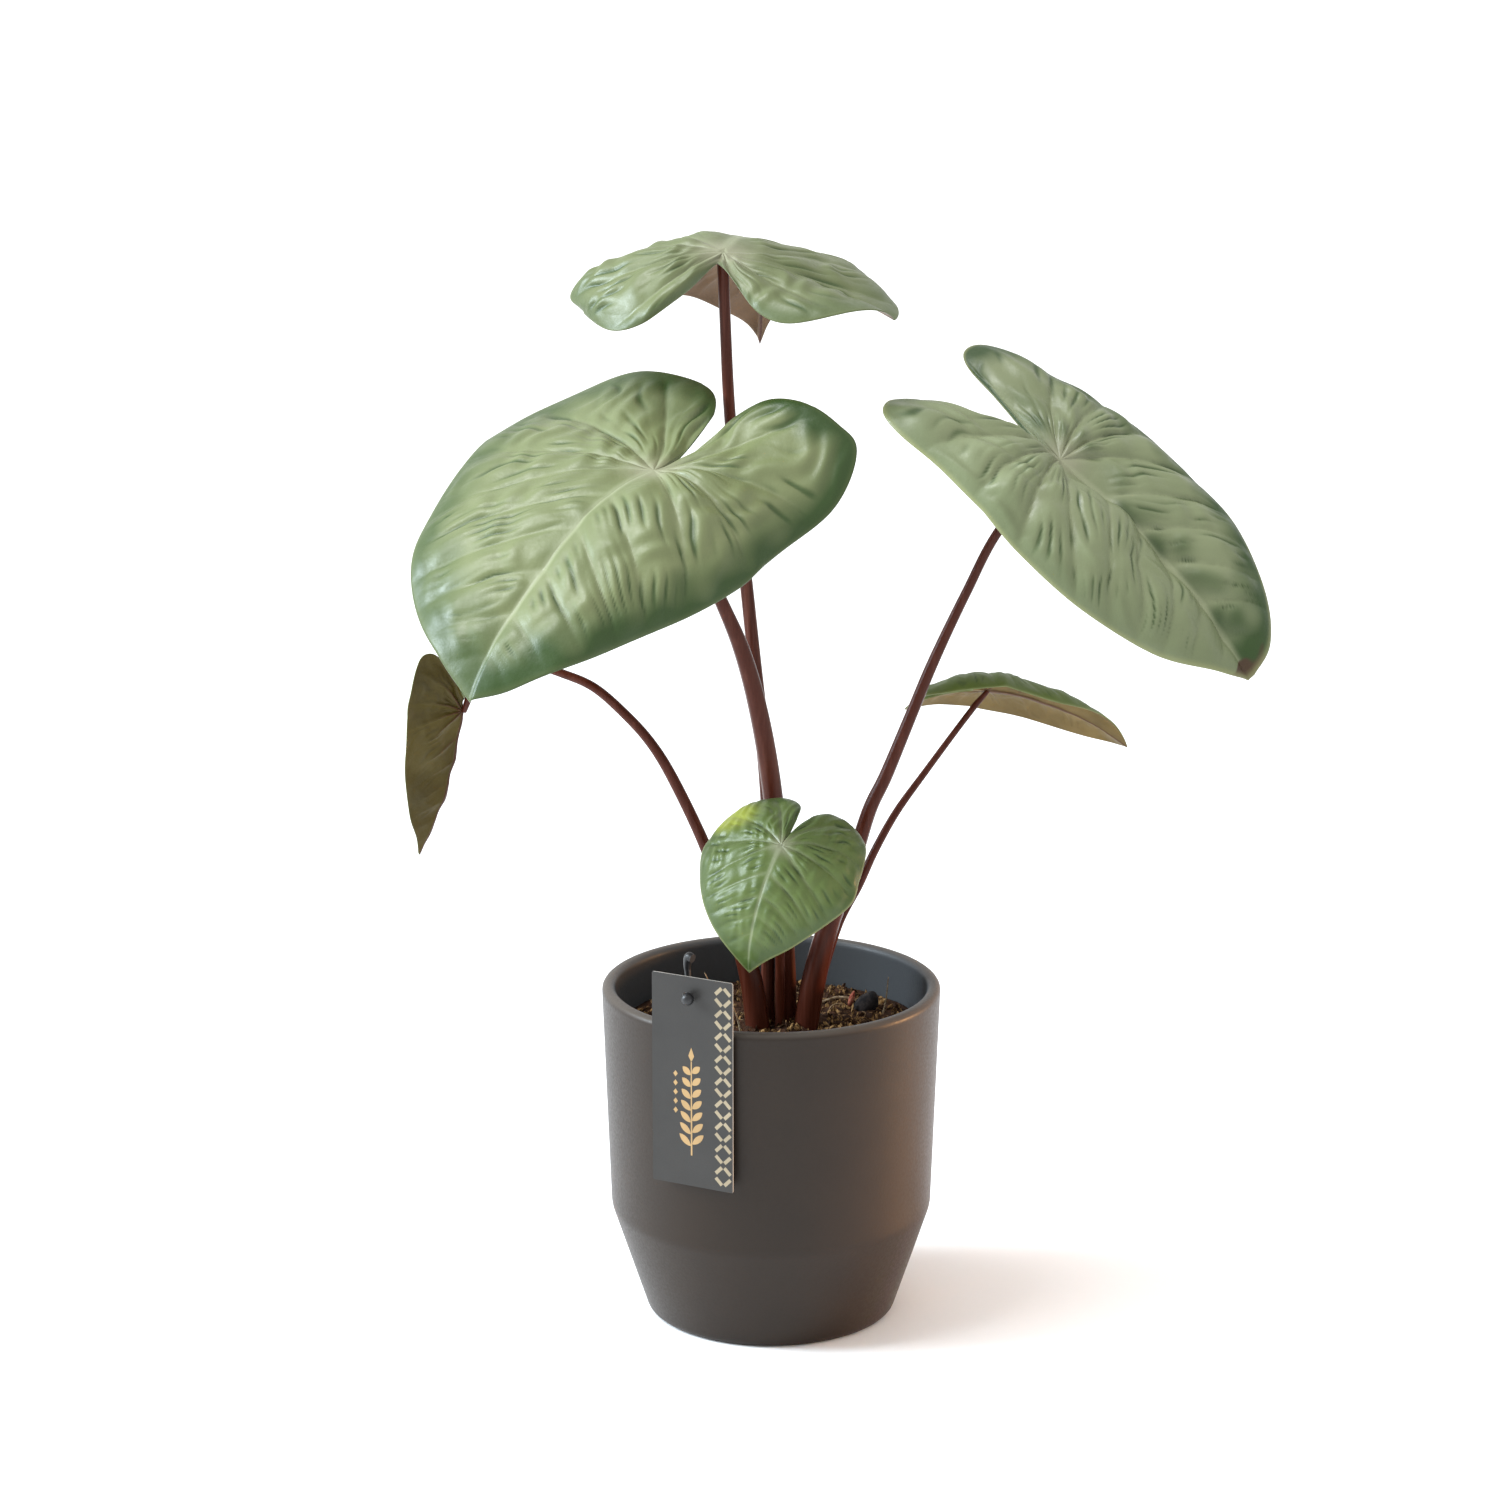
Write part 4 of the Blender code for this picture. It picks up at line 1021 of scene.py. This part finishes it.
def stalk_rows(number):
    """A stalk's rows of x, y, z, radius (mm), run up into the ribs under its blade."""
    blade = BLADES[number]
    route = [list(point) for point in STALKS[number]]
    radius = route[-1][3]
    stalk = np.array(blade["stalk"])
    approach = stalk - np.array(route[-1][:3])
    approach /= np.linalg.norm(approach)
    lean = abs(float(np.dot(approach, blade_top_direction(blade))))
    drop = BLADE_SOLID_THICKNESS / 2 + 2 * GAP + radius * math.sqrt(max(0.0, 1.0 - lean ** 2))
    end = stalk - approach * drop / max(lean, LEAST_LEAN)
    route.append([*end, radius])
    rows = smooth_route(route, STALK_SAMPLES)
    joint = stalk - blade_top_direction(blade) * STALK_JOINT_DEPTH
    return np.vstack([rows, [*joint, radius * STALK_JOINT_SHARE]])


# ---------------------------------------------------------------- pot and soil

def pot_top():
    """The height of the frame's pot."""
    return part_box("pot")[1][2] / MM


def pot_profile():
    """The pot's section from the middle of its floor, over the lip and down to the axis."""
    rim = POT_RIM_RADIUS
    top = pot_top()
    foot = (POT_FOOT_RADIUS, 0.0)
    kink = (POT_KINK_RADIUS, POT_KINK_HEIGHT)
    inner_rim = rim - POT_WALL
    inner_kink = (POT_KINK_RADIUS - POT_WALL, POT_KINK_HEIGHT + INNER_KINK_LIFT)
    inner_foot = (POT_FOOT_RADIUS - POT_WALL + INNER_FOOT_WIDENING, POT_FLOOR)
    profile = [(0.0, POT_FLOOR)]
    profile += rounded_corner((0.0, POT_FLOOR), inner_foot, inner_kink, FOOT_ROUNDING, 5)
    profile.append(inner_kink)
    profile += arc((inner_rim + LIP_ROUNDING, top - LIP_ROUNDING), LIP_ROUNDING, 180, 90, 10)
    profile += arc((rim - LIP_ROUNDING, top - LIP_ROUNDING), LIP_ROUNDING, 90, 0, 10)
    profile += rounded_corner((rim, top), kink, foot, KINK_ROUNDING, 12)
    profile += rounded_corner(kink, foot, (0.0, 0.0), FOOT_ROUNDING, 8)
    profile.append((0.0, 0.0))
    return profile


def soil_height(x, y):
    """Height of the crumbly soil surface (mm) at a place in the pot."""
    top_radius = POT_RIM_RADIUS - POT_WALL
    away = np.hypot(x, y) / top_radius
    level = pot_top() - SOIL_DEPTH_BELOW_RIM
    swell = SOIL_CROWN * (1.0 - away ** 2)
    lumps = 0.9 * sway(x, y, 19.0, 3) + 0.6 * sway(x, y, 7.0, 4) + 0.35 * sway(x, y, 2.6, 5, 11)
    return level + swell + lumps * np.clip((1.0 - away) * 9.0, 0.15, 1.0)


def soil_mesh(name, material):
    """The ball of soil: an uneven top, then the inside wall's shape down to the pot's floor."""
    level = pot_top() - SOIL_DEPTH_BELOW_RIM
    top_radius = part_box("soil")[1][0] / MM
    steps = SOIL_STEPS
    kink = (POT_KINK_RADIUS - POT_WALL - GAP, POT_KINK_HEIGHT + INNER_KINK_LIFT)
    foot = (POT_FOOT_RADIUS - POT_WALL + INNER_FOOT_WIDENING - 2 * GAP, POT_FLOOR + GAP)
    radii = np.linspace(0.0, top_radius, SOIL_RINGS + 1)[1:]
    wall = [(top_radius, level - 3.0), kink]
    wall += rounded_corner(kink, foot, (0.0, foot[1]), FOOT_ROUNDING, 3)
    angles = np.linspace(0.0, 2 * math.pi, steps, endpoint=False)
    cos, sin = np.cos(angles), np.sin(angles)
    rings = []
    for radius in radii:
        x, y = radius * cos, radius * sin
        rings.append(np.stack([x, y, soil_height(x, y)], axis=1))
    for radius, height in wall:
        rings.append(np.stack([radius * cos, radius * sin, np.full(steps, height)], axis=1))
    middle = np.array([0.0])
    points = np.vstack([[[0.0, 0.0, soil_height(middle, middle)[0]]], *rings,
                        [[0.0, 0.0, POT_FLOOR + GAP]]])
    faces = []
    last = len(points) - 1
    for i in range(steps):
        after = (i + 1) % steps
        faces.append((0, 1 + i, 1 + after))
        for ring in range(len(rings) - 1):
            inner = 1 + ring * steps
            outer = inner + steps
            faces.append((inner + i, outer + i, outer + after, inner + after))
        outer = 1 + (len(rings) - 1) * steps
        faces.append((last, outer + after, outer + i))
    mesh = bpy.data.meshes.new(name)
    mesh.from_pydata((points * MM).tolist(), [], faces)
    mesh.materials.append(material)
    mesh.shade_smooth()
    return mesh


def scatter_ground():
    """An open disc that follows the soil, for scattering on, short of the wall."""
    rings, steps = SCATTER_RINGS, SCATTER_STEPS
    radii = np.linspace(SCATTER_HEART, POT_RIM_RADIUS - POT_WALL - SCATTER_MARGIN, rings)
    angles = np.linspace(0.0, 2 * math.pi, steps, endpoint=False)
    radius, angle = np.meshgrid(radii, angles, indexing="ij")
    x, y = radius * np.cos(angle), radius * np.sin(angle)
    points = np.stack([x, y, soil_height(x, y)], axis=-1).reshape(-1, 3)
    faces = []
    for ring in range(rings - 1):
        for i in range(steps):
            after = (i + 1) % steps
            inner = ring * steps
            faces.append((inner + i, inner + steps + i, inner + steps + after, inner + after))
    mesh = bpy.data.meshes.new("scatter_ground")
    mesh.from_pydata((points * MM).tolist(), [], faces)
    return new_object("scatter_ground", mesh)


def scatter_tree(name, kind, density, size, seed, material):
    """Scatters crumbs or fibres over a ground, each turned and sized on its own."""
    tree = Tree(name, Density=density, Size=size, Seed=seed, Material=material)
    dots = tree.add("GeometryNodeDistributePointsOnFaces", Mesh=tree.start["Geometry"],
                    Density=tree.start["Density"], Seed=tree.start["Seed"])
    if kind == "crumb":
        ball = tree.add("GeometryNodeMeshIcoSphere", Radius=1.0, Subdivisions=2)
        wild = tree.add("ShaderNodeTexNoise", {"noise_dimensions": "3D"}, Scale=1.3)
        rough = tree.add("ShaderNodeVectorMath", {"operation": "SUBTRACT"},
                         n0=wild.outputs["Color"], n1=(0.5, 0.5, 0.5))
        push = tree.add("ShaderNodeVectorMath", {"operation": "SCALE"},
                        Vector=rough.outputs["Vector"], Scale=2.2)
        shape = tree.add("GeometryNodeSetPosition", Geometry=ball.outputs["Mesh"],
                         Offset=push.outputs["Vector"]).outputs["Geometry"]
        small, large = (0.35, 0.25, 0.2), (2.2, 1.1, 0.8)
    else:
        line = tree.add("GeometryNodeCurveQuadraticBezier", Resolution=7)
        for key, spot in (("Start", (-5.0, 0.0, 0.0)), ("Middle", (0.0, 3.0, 2.2)),
                          ("End", (5.0, -1.0, 0.4))):
            line.inputs[key].default_value = spot
        ring = tree.add("GeometryNodeCurvePrimitiveCircle", Resolution=4, Radius=0.13)
        shape = tree.add("GeometryNodeCurveToMesh", Curve=line.outputs["Curve"],
                         Profile_Curve=ring.outputs["Curve"], Fill_Caps=True).outputs["Mesh"]
        small, large = (0.4, 0.4, 0.4), (1.5, 1.5, 1.5)
    scale = tree.add("FunctionNodeRandomValue", {"data_type": "FLOAT_VECTOR"})
    scale.inputs[0].default_value = small
    scale.inputs[1].default_value = large
    tree.plug(scale, "Seed", tree.start["Seed"])
    sized = tree.add("ShaderNodeVectorMath", {"operation": "SCALE"},
                     Vector=scale.outputs[0], Scale=tree.start["Size"])
    spin = tree.add("FunctionNodeRandomValue", {"data_type": "FLOAT_VECTOR"})
    tilt = math.pi if kind == "crumb" else 0.5
    spin.inputs[0].default_value = (-tilt, -tilt, -math.pi)
    spin.inputs[1].default_value = (tilt, tilt, math.pi)
    turn = tree.add("FunctionNodeEulerToRotation", Euler=spin.outputs[0])
    placed = tree.add("GeometryNodeInstanceOnPoints", Points=dots.outputs["Points"],
                      Instance=shape, Rotation=turn.outputs["Rotation"],
                      Scale=sized.outputs["Vector"])
    finish_tree(tree, placed.outputs["Instances"])
    return tree


# ---------------------------------------------------------------- label

def card_place():
    """The card's place and turn about its hole."""
    return Matrix.Translation(Vector(CARD_HOLE_CENTRE) * MM) @ Matrix.Rotation(
        math.radians(CARD_YAW), 4, "Z")


def card_outline(rounding):
    """The card's outline about its hole, as (across, height) in mm."""
    left = -CARD_HOLE_FROM_LEFT
    right = CARD_WIDTH - CARD_HOLE_FROM_LEFT
    top = CARD_HOLE_BELOW_TOP
    low = CARD_HOLE_BELOW_TOP - CARD_HEIGHT
    points = []
    for x, z, start in ((right, top, 0), (left, top, 90), (left, low, 180), (right, low, 270)):
        inset_x = x - math.copysign(rounding, x)
        inset_z = z - rounding if z == top else z + rounding
        points += arc((inset_x, inset_z), rounding, start, start + 90, 5)
    return points


def flat_plate(name, outlines, thickness):
    """A plate in the XZ plane from closed outlines (mm), inner ones cut out."""
    curve = bpy.data.curves.new(name, "CURVE")
    curve.dimensions = "2D"
    curve.fill_mode = "BOTH"
    curve.extrude = thickness * MM / 2
    for outline in outlines:
        spline = curve.splines.new("POLY")
        spline.points.add(len(outline) - 1)
        for point, (x, z) in zip(spline.points, outline):
            point.co = (x * MM, z * MM, 0.0, 1.0)
        spline.use_cyclic_u = True
    flat = new_object(name, curve)
    mesh = bpy.data.meshes.new_from_object(flat.evaluated_get(
        bpy.context.evaluated_depsgraph_get()))
    bpy.data.objects.remove(flat)
    mesh.transform(Matrix.Rotation(math.pi / 2, 4, "X"))
    return mesh


def dash_tree(settings, material):
    """Two columns of slanted dashes that lean in turn, so that they close into diamonds."""
    tree = Tree("dash_lattice", Columns=DASH_COLUMNS, Rows=DASH_ROWS,
                Row_Pitch=settings.dash_pitch, Column_Pitch=settings.column_pitch,
                Dash_Length=settings.dash_length, Dash_Width=settings.dash_width,
                Print_Height=PRINT_HEIGHT, Material=material)
    width = tree.maths("MULTIPLY", tree.maths("SUBTRACT", tree.start["Columns"], 1.0),
                       tree.start["Column_Pitch"])
    height = tree.maths("MULTIPLY", tree.maths("SUBTRACT", tree.start["Rows"], 1.0),
                        tree.start["Row_Pitch"])
    grid = tree.add("GeometryNodeMeshGrid", Size_X=width, Size_Y=height,
                    Vertices_X=tree.start["Columns"], Vertices_Y=tree.start["Rows"])
    size = tree.add("ShaderNodeCombineXYZ", X=tree.start["Dash_Length"],
                    Y=tree.start["Dash_Width"], Z=tree.start["Print_Height"])
    dash = tree.add("GeometryNodeMeshCube", Size=size.outputs[0])
    index = tree.add("GeometryNodeInputIndex").outputs[0]
    column = tree.maths("FLOOR", tree.maths("DIVIDE", index, tree.start["Rows"]))
    row = tree.maths("MODULO", index, tree.start["Rows"])
    parity = tree.maths("MODULO", tree.maths("ADD", column, row), 2.0)
    lean = tree.maths("MULTIPLY", tree.maths("SUBTRACT", parity, 0.5), math.pi / 2)
    turn = tree.add("ShaderNodeCombineXYZ", Z=lean)
    spin = tree.add("FunctionNodeEulerToRotation", Euler=turn.outputs[0])
    placed = tree.add("GeometryNodeInstanceOnPoints", Points=grid.outputs["Mesh"],
                      Instance=dash.outputs["Mesh"], Rotation=spin.outputs["Rotation"])
    finish_tree(tree, placed.outputs["Instances"])
    return tree


def sprig_outlines():
    """A printed sprig with paired leaflets and a row of diamonds, as closed outlines in mm."""
    outlines = [list(SPRIG_STEM)]
    for pair in range(LEAFLET_PAIRS):
        for side in (-1.0, 1.0):
            stagger = LEAFLET_STAGGER if side > 0 else 0.0
            base = Vector((0.4 * side, LEAFLET_LOWEST + pair * LEAFLET_PITCH + stagger))
            lean = math.radians(90.0 - side * LEAFLET_LEAN)
            reach = LEAFLET_LENGTH - LEAFLET_SHORTENING * pair
            axis = Vector((math.cos(lean), math.sin(lean)))
            beside = Vector((-axis.y, axis.x))
            leaflet = []
            for step in range(LEAFLET_STEPS):
                turn = 2 * math.pi * step / LEAFLET_STEPS
                ahead = 0.5 - 0.5 * math.cos(turn)
                width = LEAFLET_HALF_WIDTH * math.sin(turn) * math.sin(math.pi * ahead) ** 0.3
                leaflet.append(tuple(base + axis * (ahead * reach) + beside * width))
            outlines.append(leaflet)
    outlines.append(list(SPRIG_BUD))
    for spot in range(DIAMONDS):
        height = DIAMOND_LOWEST + DIAMOND_PITCH * spot
        outlines.append([(DIAMOND_ACROSS - DIAMOND_HALF_WIDTH, height),
                         (DIAMOND_ACROSS, height - DIAMOND_HALF_HEIGHT),
                         (DIAMOND_ACROSS + DIAMOND_HALF_WIDTH, height),
                         (DIAMOND_ACROSS, height + DIAMOND_HALF_HEIGHT)])
    return outlines


# ---------------------------------------------------------------- lamps

def soft_lamp(name, power, place, aim, size, spread, tint):
    """A round soft lamp at a place (m) that faces its aim, its beam `spread` degrees wide."""
    lamp = bpy.data.lights.new(name, "AREA")
    lamp.shape = "DISK"
    lamp.size = size
    lamp.energy = power
    lamp.color = tint
    lamp.spread = math.radians(spread)
    light = bpy.data.objects.new(name, lamp)
    light.location = place
    way = Vector(aim) - Vector(place)
    light.rotation_euler = way.to_track_quat("-Z", "Y").to_euler()
    bpy.context.scene.collection.objects.link(light)


# ---------------------------------------------------------------- operators

class ALOCASIA_OT_pot(Operator):
    """Turns the ceramic pot"""
    bl_idname = "alocasia.pot"
    bl_label = "Pot"

    def execute(self, context):
        settings = context.scene.alocasia_pot
        material = ceramic_finish(settings)
        points = [(radius * MM, 0.0, height * MM) for radius, height in pot_profile()]
        profile = polyline_object("pot_profile", points)
        tree = turned_tree("turned_pot", settings.steps, samples=420, material=material)
        pot = tree.run(profile, "ceramic_pot")
        mesh = merged(pot.data)
        spots = np.empty(len(mesh.vertices) * 3)
        mesh.vertices.foreach_get("co", spots)
        spots = spots.reshape(-1, 3) / MM
        radius = np.hypot(spots[:, 0], spots[:, 1])
        outside = np.interp(spots[:, 2], (0.0, POT_KINK_HEIGHT, spots[:, 2].max()),
                            (POT_FOOT_RADIUS, POT_KINK_RADIUS, POT_RIM_RADIUS))
        inside = np.clip((outside - POT_WALL * 0.65 - radius) / 1.5, 0.0, 1.0)
        inside[spots[:, 2] < POT_FLOOR - 0.5] = 0.0
        mesh.attributes.new("inside", "FLOAT", "POINT").data.foreach_set("value", inside)
        mesh.shade_smooth()
        hand_over(pot, "pot_ceramic", "pot")
        return {"FINISHED"}


class ALOCASIA_OT_soil(Operator):
    """Fills the pot with soil, crumbs and fibres, and dresses the corm"""
    bl_idname = "alocasia.soil"
    bl_label = "Soil"

    def execute(self, context):
        settings = context.scene.alocasia_soil
        peat = soil_finish("peat", settings.colour, [c * 2.6 for c in settings.colour], 0.4, 0.7)
        coir = soil_finish("coir_crumbs", [c * 1.5 for c in settings.colour],
                           settings.chip_colour, 0.44, 0.62)
        straw = soil_finish("coir_fibre", *FIBRE_TINTS)
        soil = new_object("potting_soil", soil_mesh("potting_soil", peat))
        hand_over(soil, "soil", "soil")
        crumbs = scatter_tree("crumb_scatter", "crumb", settings.crumb_density, CRUMB_SIZE,
                              settings.seed, coir).run(scatter_ground(), "soil_crumbs")
        hand_over(crumbs, "soil")
        fibres = scatter_tree("fibre_scatter", "fibre", settings.fibre_density, FIBRE_SIZE,
                              settings.seed + 1, straw).run(scatter_ground(), "coir_fibres")
        hand_over(fibres, "soil")
        pale = soil_finish("dry_strand", *STRAND_TINTS)
        bark = soil_finish("bark_lump", *BARK_TINTS)
        shoot = soil_finish("red_shoot", *SHOOT_TINTS)
        skins = {"strand": pale, "lump": bark, "shoot": shoot}
        for number, (kind, strand) in enumerate(SOIL_ODDMENTS, 1):
            piece = tube_piece("soil_oddment_" + str(number), "strand_skin",
                               smooth_route(strand, samples=8), sides=12, ridge=0.00004,
                               ridges=3, material=skins[kind])
            hand_over(piece, "soil")
        skin = soil_finish("corm_skin", *CORM_TINTS)
        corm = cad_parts["corm"]
        for slot in corm.material_slots:
            slot.material = skin
        return {"FINISHED"}


class ALOCASIA_OT_stalks(Operator):
    """Raises the six leaf stalks"""
    bl_idname = "alocasia.stalks"
    bl_label = "Stalks"

    def execute(self, context):
        settings = context.scene.alocasia_stalk
        dark = stalk_finish("stalk_skin", settings, 0.3)
        pink = stalk_finish("stalk_skin_pale", settings, 0.95)
        for number in STALKS:
            stalk = tube_piece("stalk_" + str(number), "stalk_skin_tree", stalk_rows(number),
                               settings.sides, settings.ridge, ridges=9,
                               material=pink if number in PALE_STALKS else dark)
            hand_over(stalk, "petiole", "petiole_" + str(number))
        return {"FINISHED"}


class ALOCASIA_OT_blades(Operator):
    """Shapes the six leaf blades"""
    bl_idname = "alocasia.blades"
    bl_label = "Blades"

    def execute(self, context):
        settings = context.scene.alocasia_leaf
        stalk = context.scene.alocasia_stalk
        finishes = {name: leaf_top_finish(name, settings, share)
                    for name, share in UPPER_SIDES.items()}
        for name, colour, rib_colour in (
                ("leaf_underside", settings.olive_colour, stalk.colour),
                ("leaf_underside_tan", settings.tan_colour, TAN_RIB_TINT),
                ("leaf_underside_rust", settings.rust_colour, stalk.colour)):
            finishes[name] = leaf_under_finish(name, colour, rib_colour)
        for number, work in BLADE_WORK.items():
            name = "blade_" + str(number)
            mesh = blade_mesh(name, number, finishes[work["top"]], finishes[work["under"]])
            hand_over(new_object(name, mesh), "leaf", "leaf_" + str(number))
        return {"FINISHED"}


class ALOCASIA_OT_label(Operator):
    """Makes the hanging card with its print, its knob and its stake"""
    bl_idname = "alocasia.label"
    bl_label = "Label"

    def execute(self, context):
        settings = context.scene.alocasia_label
        face = card_finish("card_face", settings.colour, 0.42)
        cut = card_finish("card_cut_edge", CUT_CARD_TINT, 0.6)
        ink = card_finish("gold_print", settings.print_colour, 0.38)
        dash_ink = card_finish("straw_print", settings.dash_colour, 0.42)
        black = plastic_finish("black_plastic", PLASTIC_TINT, 0.42)
        place = card_place()
        hole = arc((0.0, 0.0), CARD_HOLE_RADIUS, 0, 360, 32)[:-1]
        mesh = merged(flat_plate("card", [card_outline(rounding=0.8), hole], CARD_THICKNESS))
        mesh.materials.clear()
        mesh.materials.append(face)
        mesh.materials.append(cut)
        for polygon in mesh.polygons:
            polygon.material_index = 0 if abs(polygon.normal.y) > 0.7 else 1
        mesh.transform(place)
        hand_over(new_object("card", mesh), "label_card", "label_card")

        ground = new_object("dash_ground", bpy.data.meshes.new("dash_ground"))
        dashes = dash_tree(settings, dash_ink).run(ground, "card_dashes")
        right = (CARD_WIDTH - CARD_HOLE_FROM_LEFT) * MM
        middle_height = (CARD_HOLE_BELOW_TOP - CARD_HEIGHT / 2) * MM
        front = -CARD_THICKNESS / 2 * MM - PRINT_LIFT
        stand = Matrix.Rotation(math.pi / 2, 4, "X")
        across = right - settings.column_pitch * DASH_EDGE_SHARE
        spot = Matrix.Translation((across, front, middle_height))
        dashes.data.transform(place @ spot @ stand)
        hand_over(dashes, "label_card")

        sprig = merged(flat_plate("card_sprig", sprig_outlines(), SPRIG_THICKNESS))
        sprig.materials.append(ink)
        sprig.transform(place @ Matrix.Translation((SPRIG_ACROSS * MM, front, SPRIG_FOOT * MM)))
        hand_over(new_object("card_sprig", sprig), "label_card")

        dome = arc((0.0, KNOB_FRONT - KNOB_RADIUS * KNOB_SINK), KNOB_RADIUS, 90, -20, 14)
        dome[0] = (0.0, dome[0][1])
        dome += [(KNOB_STEM_RADIUS, dome[-1][1] - KNOB_SHOULDER),
                 (KNOB_STEM_RADIUS, KNOB_BACK), (0.0, KNOB_BACK)]
        line = polyline_object("knob_profile", [(r * MM, 0.0, h * MM) for r, h in dome])
        knob = turned_tree("turned_knob", steps=40, samples=90, material=black).run(line, "knob")
        merged(knob.data)
        knob.data.transform(Matrix.Translation((STAKE_ROUTE[2][0] * MM, 0.0, KNOB_HEIGHT * MM))
                            @ Matrix.Rotation(math.pi / 2, 4, "X"))
        hand_over(knob, "black_plastic", "label_knob")

        stake = tube_piece("stake", "stake_skin_tree", smooth_route(STAKE_ROUTE, samples=10),
                           sides=20, ridge=0.00003, ridges=5, material=black)
        hand_over(stake, "black_plastic", "label_stake")
        return {"FINISHED"}


class ALOCASIA_OT_stage(Operator):
    """Sets the floor, the soft light and the camera"""
    bl_idname = "alocasia.stage"
    bl_label = "Stage"

    def execute(self, context):
        settings = context.scene.alocasia_studio
        scene = context.scene
        work = Finish("pale_floor", 0.75, 0.3)
        grain = work.spread(work.noise(9.0, 3.0), 0.3, 0.7)
        shade = tuple(settings.floor_colour)
        work.set("Base Color", work.mix(grain, shade, tuple(c * 0.99 for c in shade)))
        half = FLOOR_REACH
        mesh = bpy.data.meshes.new("floor")
        mesh.from_pydata([(-half, -half, 0.0), (half, -half, 0.0), (half, half, 0.0),
                          (-half, half, 0.0)], [], [(0, 1, 2, 3)])
        new_object("floor", mesh, [work.material])

        world = bpy.data.worlds.new("soft_sky")
        world.use_nodes = True
        sky = world.node_tree.nodes["Background"]
        sky.inputs["Color"].default_value = (1.0, 1.0, 1.0, 1.0)
        sky.inputs["Strength"].default_value = settings.sky
        scene.world = world

        key = bpy.data.lights.new("key_light", "SUN")
        key.energy = settings.key_strength
        key.angle = settings.key_spread
        key.color = KEY_LIGHT_TINT
        key_light = bpy.data.objects.new("key_light", key)
        key_light.rotation_euler = Vector(KEY_LIGHT_FROM).to_track_quat("Z", "Y").to_euler()
        scene.collection.objects.link(key_light)
        soft_lamp("window_light", settings.window_power, **WINDOW_LIGHT)
        soft_lamp("warm_light", settings.warm_power, **WARM_LIGHT)

        camera_data = bpy.data.cameras.new("camera")
        camera_data.lens = settings.lens
        camera_data.sensor_width = SENSOR_WIDTH
        camera = bpy.data.objects.new("camera", camera_data)
        camera.location = CAMERA_PLACE
        camera.rotation_euler = (math.radians(90.0 - CAMERA_TILT), 0.0, 0.0)
        scene.collection.objects.link(camera)
        scene.camera = camera
        scene.view_settings.view_transform = "Standard"
        return {"FINISHED"}


class ALOCASIA_PT_panel(Panel):
    """Lists the steps that make the plant"""
    bl_idname = "ALOCASIA_PT_panel"
    bl_label = "Potted alocasia"
    bl_space_type = "VIEW_3D"
    bl_region_type = "UI"
    bl_category = "Alocasia"

    def draw(self, context):
        for step in STEPS:
            self.layout.operator(step.bl_idname)


SETTINGS = {
    "alocasia_pot": AlocasiaPotSettings,
    "alocasia_leaf": AlocasiaLeafSettings,
    "alocasia_stalk": AlocasiaStalkSettings,
    "alocasia_soil": AlocasiaSoilSettings,
    "alocasia_label": AlocasiaLabelSettings,
    "alocasia_studio": AlocasiaStudioSettings,
}
STEPS = (ALOCASIA_OT_stage, ALOCASIA_OT_pot, ALOCASIA_OT_soil, ALOCASIA_OT_stalks,
         ALOCASIA_OT_blades, ALOCASIA_OT_label)


def register():
    for name, group in SETTINGS.items():
        bpy.utils.register_class(group)
        setattr(bpy.types.Scene, name, PointerProperty(type=group))
    for step in STEPS:
        bpy.utils.register_class(step)
    bpy.utils.register_class(ALOCASIA_PT_panel)


def unregister():
    bpy.utils.unregister_class(ALOCASIA_PT_panel)
    for step in reversed(STEPS):
        bpy.utils.unregister_class(step)
    for name, group in SETTINGS.items():
        delattr(bpy.types.Scene, name)
        bpy.utils.unregister_class(group)


def main():
    register()
    for step in STEPS:
        family, action = step.bl_idname.split(".")
        getattr(getattr(bpy.ops, family), action)()


if __name__ == "__main__":
    main()
